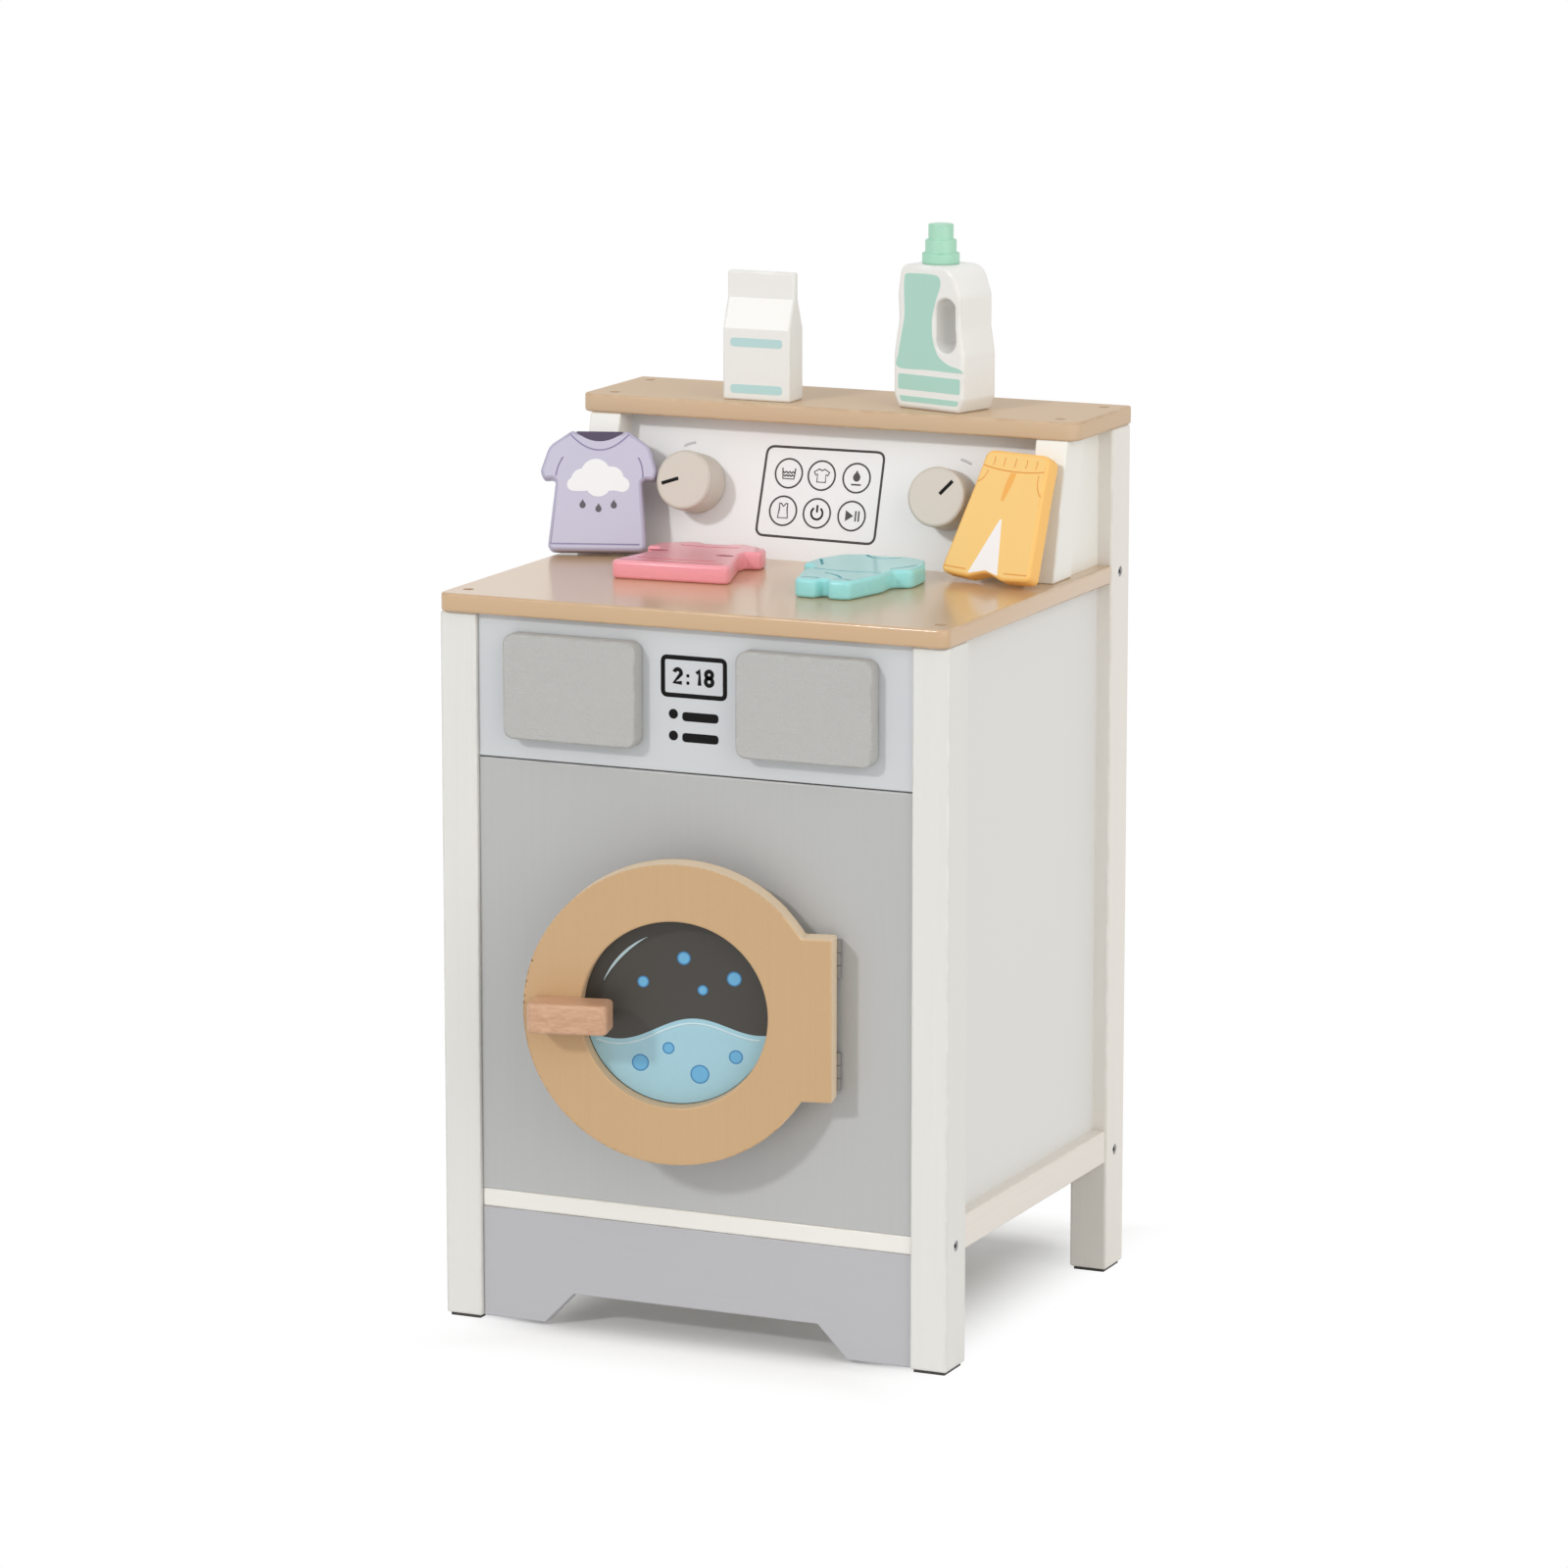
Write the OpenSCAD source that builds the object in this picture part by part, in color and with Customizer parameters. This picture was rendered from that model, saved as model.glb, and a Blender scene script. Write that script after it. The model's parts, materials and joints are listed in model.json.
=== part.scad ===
// Play washing machine for a child: a post-and-panel case with a round door,
// two drawers, a leaning control panel with two knobs, and loose play pieces.
// Millimetres, +Z up, the front faces -Y, the user's right is +X.

/* [Case] */
// Width over the posts
case_w = 350; // [320:1:420]
// Depth over the posts
case_d = 300; // [270:1:360]
// Height of the front posts, up to the underside of the counter
counter_h = 462; // [458:1:520]
// Thickness of the counter, the shelf and the floor board
board_t = 12; // [9:0.5:18]
// Width of a post, across the front
post_w = 25; // [20:1:32]
// Depth of a post, front to back
post_d = 30; // [24:1:40]
// Thickness of the felt pad under each post
pad_t = 2; // [1:0.5:4]
// How far each felt pad stays inside its post
pad_inset = 2; // [1:0.5:5]
// Thickness of the painted front, side and control panels
panel_t = 9; // [6:0.5:12]
// How far the front panels sit behind the front faces of the posts
front_set = 3; // [1:0.5:8]
// How far the side panels sit behind the outer faces of the posts
side_inset = 10; // [4:0.5:13]
// Thickness of the back panel
back_t = 6; // [3:0.5:9]
// How far the back panel sits in from the rear faces of the posts
back_set = 3; // [1:0.5:8]
// Height of the underside of the floor board above the ground
floor_z = 75; // [60:1:85]
// Height of a side rail
rail_h = 22; // [14:1:30]
// How far the outer face of a side rail sits behind the posts
rail_inset = 1; // [0:0.5:3]
// Gap between the front panel and the drawer fascia
panel_gap = 0.8; // [0.4:0.1:2]
// Height of the drawer fascia
fascia_h = 92; // [86:0.5:94]

/* [Plinth] */
// Height of the cut-out in the plinth
plinth_cut_h = 23; // [10:1:40]
// Half width of the cut-out at the ground
plinth_cut_low = 106; // [92:1:125]
// Half width of the cut-out at its top
plinth_cut_top = 85.5; // [60:0.5:90]

/* [Counter] */
// How far the counter overhangs the front posts
counter_over = 4; // [0:0.5:12]
// Radius of the front corners of the counter
counter_r = 7; // [2:0.5:12]
// Radius of a wood screw's head
screw_head_r = 3.5; // [2.5:0.1:4.5]
// Height of a wood screw's head
screw_head_h = 2.5; // [1.5:0.1:4]
// Radius of a wood screw's shank
screw_r = 1.8; // [1.2:0.1:2.2]
// Length of a wood screw's shank
screw_len = 30; // [20:1:40]
// How deep a screw head sits below the board
screw_sink = 0.8; // [0.2:0.1:2]
// Distance of the front screws from the front of the post
screw_front = 15; // [8:0.5:20]
// Free space round each screw and bolt
screw_clear = 0.1; // [0.05:0.05:0.3]

/* [Assembly bolts] */
// Radius of a side bolt's head
bolt_head_r = 3.4; // [2.8:0.1:4.5]
// Height of a side bolt's head
bolt_head_h = 4; // [2:0.5:6]
// Radius of a side bolt's shank
bolt_r = 2.4; // [1.5:0.1:2.6]
// How far a side bolt reaches past the post into the board
bolt_grip = 14; // [8:1:25]
// How deep the bolt heads sit in the posts
bolt_sink = 0.6; // [0.2:0.1:2]
// Width across the flats of the socket in a bolt head
bolt_key = 3; // [2:0.1:4]

/* [Riser and shelf] */
// Height of the riser, from the counter to the shelf
riser_h = 89; // [82:1:140]
// Depth of the shelf
shelf_d = 94; // [86:1:110]
// How far the shelf overhangs the posts at each side
shelf_over = 1; // [0:0.5:6]
// Radius of the front corners of the shelf
shelf_r = 9; // [2:0.5:14]
// Lean of the control panel and its stiles from upright, in degrees
lean = 14; // [8:0.5:16]
// Distance of the foot of a stile from the back of the case
stile_back = 116; // [106:0.5:122]
// Width of a stile
stile_w = 22; // [14:0.5:24]
// Thickness of a stile, square to its front face
stile_t = 30; // [24:0.5:34]
// How far the stiles stand in from the ends of the counter
stile_inset = 6; // [2:0.5:9]
// How far the control panel sits behind the front of the stiles
control_set = 18.4; // [10:0.2:20]

/* [Door] */
// Outer radius of the door ring
door_r = 96; // [90:0.5:100]
// Radius of the window opening in the ring
door_hole_r = 59.5; // [50:0.5:62]
// Thickness of the door ring
door_t = 18; // [14:0.5:22]
// Height of the hinge block on the ring
ear_h = 104; // [96:1:120]
// How far the hinge line lies outside the ring
ear_reach = 4.2; // [2:0.2:8]
// Width of the chamfer round both edges of the ring
door_ease = 1; // [0.5:0.1:2]
// How far the centre of the door sits below the middle of the front panel
door_low = 3.1; // [0:0.1:14]
// Space between the closed door and the front panel
door_gap = 4.8; // [4.8:0.1:6]
// How far the door stands open, in degrees
ajar = 13.7; // [0:0.1:30]
// Radius of the drum opening in the front panel
drum_r = 80; // [70:0.5:82]
// Radius of the window disc
window_r = 68; // [64:0.5:72]
// Thickness of the window disc
window_t = 5; // [3:0.5:8]
// Free space round the window disc in its rebate
window_clear = 0.3; // [0.1:0.1:0.6]

/* [Door handle] */
// Length of the handle
handle_len = 51; // [40:1:60]
// How far the handle stands out from the ring
handle_d = 25.5; // [16:0.5:30]
// Height of the handle
handle_h = 19; // [17:0.5:26]
// Distance of the handle from the free edge of the ring
handle_inset = 7.2; // [3:0.2:9]
// Radius of the corners of the handle, seen from above
handle_r = 5; // [2:0.5:8]
// Distance of the handle screws from the free edge of the ring
handle_screw_x = 16; // [15:0.5:18]
// Distance between the two handle screws
handle_screw_gap = 10; // [8:0.5:10]
// Radius of a handle screw's head
handle_head_r = 3; // [2.4:0.1:3.2]
// Height of a handle screw's head
handle_head_h = 2; // [1:0.1:3]
// How far a handle screw reaches into the handle
handle_bite = 14; // [8:1:20]

/* [Door hinges and catch] */
// Radius of a hinge knuckle
knuckle_r = 2.3; // [2:0.05:2.35]
// Radius of a hinge pin
pin_r = 1; // [0.8:0.05:1.2]
// Running clearance between a hinge pin and its knuckle
pin_clear = 0.05; // [0.02:0.01:0.1]
// Height of a hinge
hinge_h = 24; // [18:0.5:30]
// Distance of each hinge from the middle of the door
hinge_off = 36; // [30:0.5:38]
// Width of a hinge leaf, from the pin
leaf_w = 16; // [12:0.5:20]
// Thickness of a hinge leaf
leaf_t = 1; // [0.6:0.1:1.2]
// Space between a turning and a fixed piece of a hinge
knuckle_gap = 0.4; // [0.3:0.05:0.6]
// Radius of a hinge screw's head
leaf_head_r = 2; // [1.6:0.1:2.4]
// Height of a hinge screw's head
leaf_head_h = 0.5; // [0.3:0.1:0.6]
// Radius of a hinge screw's shank
leaf_screw_r = 1; // [0.8:0.05:1.2]
// Length of a hinge screw's shank
leaf_screw_len = 6; // [4:0.5:7]
// Radius of the door magnet
magnet_r = 5; // [3:0.1:5.5]
// Space between the magnet and the closed door
magnet_gap = 0.3; // [0.2:0.05:0.6]
// Radius of the steel strike in the door
strike_r = 4; // [2.5:0.1:4.2]
// Thickness of the steel strike
strike_t = 2; // [1:0.1:3]

/* [Drawers] */
// Width of a drawer front
drawer_front_w = 92.6; // [86:0.2:100]
// Height of a drawer front
drawer_front_h = 67.5; // [60:0.5:74]
// Thickness of a drawer front
drawer_front_t = 12; // [9:0.5:15]
// Radius of the corners of a drawer front
drawer_front_r = 7; // [3:0.5:10]
// Distance of a drawer's middle from the side of the case
drawer_in = 94.4; // [91:0.2:98]
// How far the middle of a drawer front sits below the counter
drawer_low = 43.7; // [41:0.1:46]
// Gap between a drawer front and the fascia
drawer_seat = 0.3; // [0.2:0.05:0.6]
// Outer width of a drawer box
drawer_box_w = 76; // [60:1:80]
// Outer height of a drawer box
drawer_box_h = 42; // [30:1:46]
// Length of a drawer box behind its front
drawer_box_len = 120; // [100:1:150]
// Thickness of a drawer box's walls
drawer_wall = 5; // [3:0.5:7]
// Thickness of a drawer box's bottom
drawer_floor = 4; // [3:0.5:5]
// Free space beside and above a drawer box
drawer_clear = 1; // [0.5:0.1:2]
// Free space under a drawer box
drawer_drop = 0.3; // [0.2:0.05:0.6]
// Thickness of the shelf that the drawers run on
runner_t = 9; // [6:0.5:12]
// How far the runner shelf reaches behind the drawers
runner_past = 12; // [10:1:30]
// Width of a guide batten beside a drawer
guide_w = 8; // [5:0.5:12]
// Height of a guide batten
guide_h = 12; // [8:0.5:18]

/* [Knobs] */
// Radius of a knob
knob_r = 19.6; // [15:0.2:22]
// Height of a knob
knob_h = 24; // [16:0.5:28]
// Radius of the eased front edge of a knob
knob_ease = 1; // [0.4:0.1:2]
// Distance of the left knob from the side of the case
knob_left_in = 80.7; // [77:0.1:88]
// Distance of the right knob from the side of the case
knob_right_in = 90.6; // [89:0.1:98]
// How far a knob sits above the middle of the control panel
knob_up = 0.1; // [-4:0.1:4]
// Space between a knob and the control panel
knob_gap = 0.5; // [0.3:0.1:1]
// Radius of a knob's dowel
dowel_r = 4; // [3:0.1:5]
// Running clearance between a dowel and the control panel
dowel_clear = 0.08; // [0.03:0.01:0.1]
// How deep a dowel is set into its knob
dowel_set = 16; // [8:1:18]
// Radius of the keeper disc on the back end of a dowel
keeper_r = 8; // [7:0.5:12]
// Thickness of the keeper disc
keeper_t = 4; // [3:0.5:6]
// Space between the keeper disc and the control panel
keeper_gap = 0.5; // [0.3:0.1:1]

/* [Play clothes] */
// Thickness of the play clothes
cloth_t = 12; // [8:0.5:12.5]
// Space between a play piece and what it leans on
rest_gap = 0.2; // [0.1:0.05:0.5]
// Height of the shirt
tee_h = 80; // [70:1:82]
// Half width of the shirt's hem
tee_hem = 32.5; // [28:0.5:34]
// Half width of the shirt below its sleeves
tee_chest = 28; // [24:0.5:30]
// Half width of the shirt over its sleeves
tee_span = 38.5; // [36:0.5:38.5]
// Half width of the shirt's neck
tee_neck = 16; // [12:0.5:18]
// How far the shirt leans back, in degrees
tee_lean = 18; // [14:0.5:18]
// How far the shirt is turned, in degrees
tee_turn = 20; // [15:0.5:21]
// Distance of the shirt's foot from the left side of the case
tee_in = 30.1; // [25:0.1:30.1]
// Distance of the shirt's foot in front of the stiles
tee_front = 19.3; // [19.3:0.1:26]
// Height of the trousers
trousers_h = 84.8; // [76:0.2:86]
// Half width of the trousers' waist
trousers_waist = 25.3; // [20:0.1:26]
// Half width over the trouser legs
trousers_span = 35.9; // [32:0.1:37]
// Width of a trouser leg at its end
trousers_leg = 22; // [18:0.5:24]
// Rise of the shallow arch between the leg ends
trousers_arch = 4.5; // [2:0.5:8]
// How far the trousers lean back, in degrees
trousers_lean = 25; // [20:0.5:25]
// How far the trousers are turned, in degrees
trousers_turn = -15.9; // [-17:0.1:-13]
// Distance of the trousers' foot from the right side of the case
trousers_in = 44.2; // [42:0.1:46]
// Distance of the trousers' foot in front of the stiles
trousers_front = 25; // [25:0.1:31]
// Length of the dress
dress_h = 90; // [80:1:92]
// Half width of the dress's hem
dress_hem = 41.5; // [38:0.5:46]
// Half width of the dress at its waist
dress_waist = 29; // [26:0.5:31]
// Half width of the dress over its sleeves
dress_span = 40; // [34:0.5:41]
// Half width of the dress's neck
dress_neck = 12; // [9:0.5:14]
// Turn of the dress, in degrees
dress_turn = 4; // [0:0.5:6]
// Distance of the dress to the left of the middle
dress_x = 59; // [56:0.5:62]
// Distance of the hem of the dress in front of the stiles
dress_front = 91; // [91:0.5:96]
// Length of the romper
romper_h = 110; // [100:1:112]
// Half width of the romper over its sleeves
romper_span = 38; // [35:0.5:39]
// Half width of the romper below its sleeves
romper_hip = 27.5; // [25:0.5:29]
// Half width of the romper at its leg ends
romper_foot = 18.5; // [16:0.5:21]
// Half width of the gap between the romper's legs
romper_gap = 5; // [3:0.5:6]
// Half width of the romper's neck
romper_neck = 10; // [7:0.5:13]
// Height of the romper's crotch above its leg ends
romper_crotch = 12; // [6:0.5:14]
// Turn of the romper, in degrees
romper_turn = 1; // [-2:0.5:2]
// Distance of the romper to the right of the middle
romper_x = 57; // [54:0.5:57]
// Distance of the leg ends of the romper in front of the stiles
romper_front = 113; // [113:0.5:116]

/* [Play carton and bottle] */
// Width of the carton
carton_w = 48; // [36:1:54]
// Depth of the carton
carton_d = 21; // [16:0.5:28]
// Height of the carton
carton_h = 84; // [80:1:92]
// Height of the carton's shoulder
carton_shoulder = 47; // [38:1:54]
// Height of the lower edge of the carton's sealed top
carton_seam = 66.5; // [62:0.5:72]
// Thickness of the carton's sealed top
carton_top_t = 5.6; // [3:0.2:8]
// Distance of the carton's middle to the left of the middle
carton_x = 54.5; // [40:0.5:70]
// Distance of the carton from the front edge of the shelf
carton_set = 12; // [8:0.5:34]
// Width of the bottle
bottle_w = 58; // [50:1:62]
// Depth of the bottle
bottle_d = 35; // [30:0.5:36]
// Height of the bottle without its cap
bottle_h = 94; // [90:1:104]
// Radius of the bottle's handle opening
grip_r = 8; // [6:0.2:8.4]
// Height of the handle opening from end to end
grip_h = 35; // [24:0.5:38]
// Height of the middle of the handle opening
grip_z = 56; // [52:0.5:58]
// Material left outside the handle opening
grip_wall = 6.5; // [5:0.5:8]
// How far the waist of the bottle is drawn in
bottle_waist = 3; // [1:0.2:3.4]
// Radius of the lower tier of the cap
cap_r = 12.2; // [10:0.2:13]
// Height of the lower tier of the cap
cap_h = 7; // [5:0.5:12]
// Step of the cap's radius from tier to tier
cap_step = 2; // [1:0.1:3]
// Height of the middle tier of the cap
cap_mid_h = 8.5; // [5:0.5:12]
// Height of the upper tier of the cap
cap_top_h = 10; // [5:0.5:14]
// Distance of the cap to the left of the bottle's middle
cap_off = 3.5; // [2:0.5:10]
// Turn of the bottle, in degrees
bottle_turn = -16; // [-20:0.5:0]
// Distance of the bottle's middle to the right of the middle
bottle_x = 70.5; // [60:0.5:80]
// Distance of the bottle's middle from the front edge of the shelf
bottle_set = 31.5; // [28:0.5:48]

/* [Hidden] */
$fn = 96;
eps = 0.01;

white = "#e8e7e2";
tan_paint = "#d6b48c";
ring_tan = "#cdaa7d";
grey_paint = "#babcbe";
plinth_grey = "#bcbdc3";
fascia_paint = "#d0d4dc";
plate_grey = "#b9bab8";
taupe = "#cdc4ba";
beech = "#d4a887";
steel = "#9a9da0";
felt = "#4a4746";
plywood = "#dcc6a2";

half_w = case_w / 2;
front_y = -case_d / 2;
rear_y = case_d / 2;
post_in = half_w - post_w;
post_fb = front_y + post_d;
post_bf = rear_y - post_d;
panel_f = front_y + front_set;
panel_b = panel_f + panel_t;
wall_out = half_w - side_inset;
wall_in = wall_out - panel_t;
back_r = rear_y - back_set;
back_f = back_r - back_t;
floor_top = floor_z + board_t;
counter_top = counter_h + board_t;
shelf_h = counter_top + riser_h;
shelf_top = shelf_h + board_t;
counter_f = front_y - counter_over;
shelf_f = rear_y - shelf_d;
fascia_z = counter_h - fascia_h;
front_panel_h = fascia_z - panel_gap - floor_top;
door_z = floor_top + front_panel_h / 2 - door_low;

// hinge line and door placing, with the door closed
hinge_x = door_r + ear_reach;
hinge_y = panel_f - door_gap / 2;
door_back = panel_f - door_gap;
door_front = door_back - door_t;
hinge_mid = [door_z - hinge_off, door_z + hinge_off];
knuckle_h = (hinge_h - 2 * knuckle_gap) / 3;
catch_x = -(drum_r + (door_r - drum_r) / 2);
handle_x = -door_r + handle_inset;
handle_sx = -door_r + handle_screw_x;

// drawers
drawer_x = half_w - drawer_in;
drawer_z = counter_h - drawer_low;
open_w = drawer_box_w + 2 * drawer_clear;
open_h = drawer_box_h + drawer_drop + drawer_clear;
open_z = drawer_z - open_h / 2;
box_z = open_z + drawer_drop;
drawer_back = panel_f - drawer_seat;
runner_end = drawer_back + drawer_box_len + runner_past;

// stiles and control panel, measured in Y at the counter
stile_y = rear_y - stile_back;
stile_out = half_w - stile_inset;
stile_in = stile_out - stile_w;
stile_y1 = stile_y + stile_t / cos(lean);
control_y = stile_y + control_set / cos(lean);
control_y1 = control_y + panel_t / cos(lean);
lean_run = riser_h * tan(lean);
knob_s = riser_h / cos(lean) / 2 + knob_up;
knob_left_x = half_w - knob_left_in;
knob_right_x = half_w - knob_right_in;

// places of the play pieces
tee_x = half_w - tee_in;
tee_y = stile_y - tee_front;
trousers_x = half_w - trousers_in;
trousers_y = stile_y - trousers_front;
dress_y = stile_y - dress_front;
romper_y = stile_y - romper_front;
carton_y = shelf_f + carton_set;
bottle_y = shelf_f + bottle_set;
tee_tip_h = tee_h * 0.66;
tee_tip_back = cloth_t * cos(tee_lean) + tee_tip_h * sin(tee_lean);
// reach of the whole set, so that the origin lies under its middle
reach_left = tee_x + tee_span * cos(tee_turn) + tee_tip_back * sin(tee_turn);
reach_right = half_w + shelf_over;
reach_front = -hinge_y + (hinge_x - handle_x - handle_r) * sin(ajar)
  + (hinge_y - door_front + handle_d - handle_r) * cos(ajar) + handle_r;
origin_x = (reach_right - reach_left) / 2;
origin_y = (rear_y - reach_front) / 2;

// ---------- helpers ----------
module placed() translate([-origin_x, -origin_y, 0]) children();
module box(x0, x1, y0, y1, z0, z1)
  translate([x0, y0, z0]) cube([x1 - x0, y1 - y0, z1 - z0]);
module along_y(x, y, z) translate([x, y, z]) rotate([-90, 0, 0]) children();
module along_x(x, y, z) translate([x, y, z]) rotate([0, 90, 0]) children();
module mirror_x(side) mirror([side < 0 ? 1 : 0, 0, 0]) children();

// rectangle in 2D with rounded corners
module rounded_rect(w, h, r) {
  square([w - 2 * r, h], center = true);
  square([w, h - 2 * r], center = true);
  for (sx = [-1, 1], sy = [-1, 1])
    translate([sx * (w / 2 - r), sy * (h / 2 - r)]) circle(r);
}
// board outline whose two front corners are rounded
module front_rounded(hw, y0, y1, r) {
  translate([-hw, y0 + r]) square([2 * hw, y1 - y0 - r]);
  translate([-hw + r, y0]) square([2 * (hw - r), r + eps]);
  for (s = [-1, 1]) translate([s * (hw - r), y0 + r]) circle(r);
}
// closed outline with each corner [x, y, r] rounded by its own radius
function unit(v) = v / norm(v);
function flat(p) = [p.x, p.y];
function arc_corner(a, b, c, r, n) = r <= 0 ? [b] :
  let (u = unit(a - b), v = unit(c - b), half = acos(u * v) / 2,
       d = min(r / tan(half), 0.48 * min(norm(a - b), norm(c - b))), k = d * tan(half),
       m = b + unit(u + v) * k / sin(half), s = b + u * d - m, e = b + v * d - m,
       a0 = atan2(s.y, s.x), turn = (atan2(e.y, e.x) - a0 + 540) % 360 - 180)
  [for (i = [0 : n]) m + k * [cos(a0 + turn * i / n), sin(a0 + turn * i / n)]];
function soft_outline(p, n = 6) = [for (i = [0 : len(p) - 1])
  each arc_corner(flat(p[(i + len(p) - 1) % len(p)]), flat(p[i]), flat(p[(i + 1) % len(p)]), p[i].z, n)];
// right half of an outline, mirrored to make the whole
function both_sides(p) = concat(p, [for (i = [len(p) - 1 : -1 : 0]) [-p[i].x, p[i].y, p[i].z]]);

// ---------- posts, pads, rails ----------
module bolt_cut(x_out, x_dir, y, z, reach) {
  along_x(x_out, y, z) mirror([0, 0, x_dir > 0 ? 1 : 0]) {
    translate([0, 0, -eps]) cylinder(r = bolt_head_r + screw_clear, h = bolt_sink + bolt_head_h + eps);
    cylinder(r = bolt_r + screw_clear, h = reach);
  }
}
module screw_cut(x, y, top, reach) {
  translate([x, y, top - reach]) cylinder(r = screw_r + screw_clear, h = reach);
  translate([x, y, top - screw_sink - screw_head_h])
    cylinder(r = screw_head_r + screw_clear, h = screw_head_h + screw_sink + eps);
}
bolt_reach = bolt_sink + post_w + bolt_grip + screw_clear;
screw_reach = screw_sink + screw_head_h + screw_len + screw_clear;
bolt_low_z = floor_z + board_t / 2;
bolt_high_z = counter_h + board_t / 2;
bolt_front_y = front_y + post_d / 2;
bolt_rear_y = rear_y - post_d / 2;
counter_screw_x = half_w - post_w / 2;
counter_screw_y = front_y + screw_front;
shelf_screw_rear_y = rear_y - post_d / 2;
shelf_screw_front_y = stile_y + lean_run + stile_t / 2;
shelf_screw_front_x = stile_out - stile_w / 2;

module front_post(s) color(white) placed() difference() {
  mirror_x(s) box(post_in, half_w, front_y, post_fb, pad_t, counter_h);
  bolt_cut(s * half_w, s, bolt_front_y, bolt_low_z, bolt_reach);
  screw_cut(s * counter_screw_x, counter_screw_y, counter_top, screw_reach);
}
module back_post(s) color(white) placed() difference() {
  mirror_x(s) box(post_in, half_w, post_bf, rear_y, pad_t, shelf_h);
  for (z = [bolt_low_z, bolt_high_z]) bolt_cut(s * half_w, s, bolt_rear_y, z, bolt_reach);
  screw_cut(s * counter_screw_x, shelf_screw_rear_y, shelf_top, screw_reach);
}
module foot_pads() color(felt) placed()
  for (s = [-1, 1], y = [front_y, post_bf]) mirror_x(s)
    box(post_in + pad_inset, half_w - pad_inset, y + pad_inset, y + post_d - pad_inset, 0, pad_t);
module side_rail(s) color(white) placed() mirror_x(s)
  box(wall_in, half_w - rail_inset, post_fb, post_bf, floor_z, floor_z + rail_h);
module side_panel(s) color(white) placed() mirror_x(s)
  box(wall_in, wall_out, post_fb, post_bf, floor_z + rail_h, counter_h);

// ---------- boards and panels ----------
module floor_board() color(white) placed() difference() {
  union() {
    box(-post_in, post_in, panel_f, back_f, floor_z, floor_top);
    box(-wall_in, wall_in, post_fb, post_bf, floor_z, floor_top);
  }
  for (s = [-1, 1], y = [bolt_front_y, bolt_rear_y]) bolt_cut(s * half_w, s, y, bolt_low_z, bolt_reach);
}
module plinth_panel() color(plinth_grey) placed()
  translate([0, panel_b, 0]) rotate([90, 0, 0]) linear_extrude(panel_t)
    polygon([[-post_in, pad_t], [-plinth_cut_low, pad_t], [-plinth_cut_top, plinth_cut_h],
      [plinth_cut_top, plinth_cut_h], [plinth_cut_low, pad_t], [post_in, pad_t],
      [post_in, floor_z], [-post_in, floor_z]]);
module leaf_screws_at(y, deep)
  for (z = hinge_mid, d = [-1, 1]) along_y(hinge_x - leaf_w + leaf_head_r + 2 * leaf_t, y, z + d * hinge_h / 3)
    cylinder(r = leaf_screw_r + screw_clear, h = deep, $fn = 32);
module front_panel() color(grey_paint) placed() difference() {
  box(-post_in, post_in, panel_f, panel_b, floor_top, floor_top + front_panel_h);
  along_y(0, panel_f - eps, door_z) cylinder(r = drum_r, h = panel_t + 2 * eps);
  leaf_screws_at(panel_f - eps, leaf_screw_len + screw_clear);
}
module fascia_panel() color(fascia_paint) placed() difference() {
  box(-post_in, post_in, panel_f, panel_b, fascia_z, counter_h);
  for (s = [-1, 1])
    box(s * drawer_x - open_w / 2, s * drawer_x + open_w / 2, panel_f - eps, panel_b + eps,
      open_z, open_z + open_h);
}
module back_panel() color(white) placed()
  box(-post_in, post_in, back_f, back_r, floor_z, shelf_h);
module runner_shelf() color(plywood) placed() {
  box(-post_in, post_in, panel_b, runner_end, open_z - runner_t, open_z);
  box(-wall_in, wall_in, post_fb, runner_end, open_z - runner_t, open_z);
}
module drawer_guides() color(plywood) placed()
  for (s = [-1, 1], e = [-1, 1]) {
    edge = s * drawer_x + e * open_w / 2;
    box(min(edge, edge + e * guide_w), max(edge, edge + e * guide_w), panel_b, runner_end,
      open_z, open_z + guide_h);
  }
module countertop() color(tan_paint) placed() difference() {
  union() {
    translate([0, 0, counter_h]) linear_extrude(board_t)
      front_rounded(half_w, counter_f, post_bf, counter_r);
    box(-post_in, post_in, post_bf - eps, back_f, counter_h, counter_top);
  }
  for (s = [-1, 1]) {
    screw_cut(s * counter_screw_x, counter_screw_y, counter_top, screw_reach);
    bolt_cut(s * half_w, s, bolt_rear_y, bolt_high_z, bolt_reach);
  }
}

// ---------- riser, control panel, shelf ----------
// upright slice in the YZ plane between two X planes
module slice_x(x0, x1, pts)
  translate([x0, 0, 0]) rotate([90, 0, 90]) linear_extrude(x1 - x0) polygon(pts);
module riser_stile(s) color(white) placed() difference() {
  mirror_x(s) slice_x(stile_in, stile_out, [[stile_y, counter_top], [stile_y1, counter_top],
    [stile_y1 + lean_run, shelf_h], [stile_y + lean_run, shelf_h]]);
  screw_cut(s * shelf_screw_front_x, shelf_screw_front_y, shelf_top, screw_reach);
}
module riser_side(s) color(white) placed() mirror_x(s)
  slice_x(wall_in, wall_out, [[stile_y1, counter_top], [post_bf, counter_top],
    [post_bf, shelf_h], [stile_y1 + lean_run, shelf_h]]);
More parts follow.
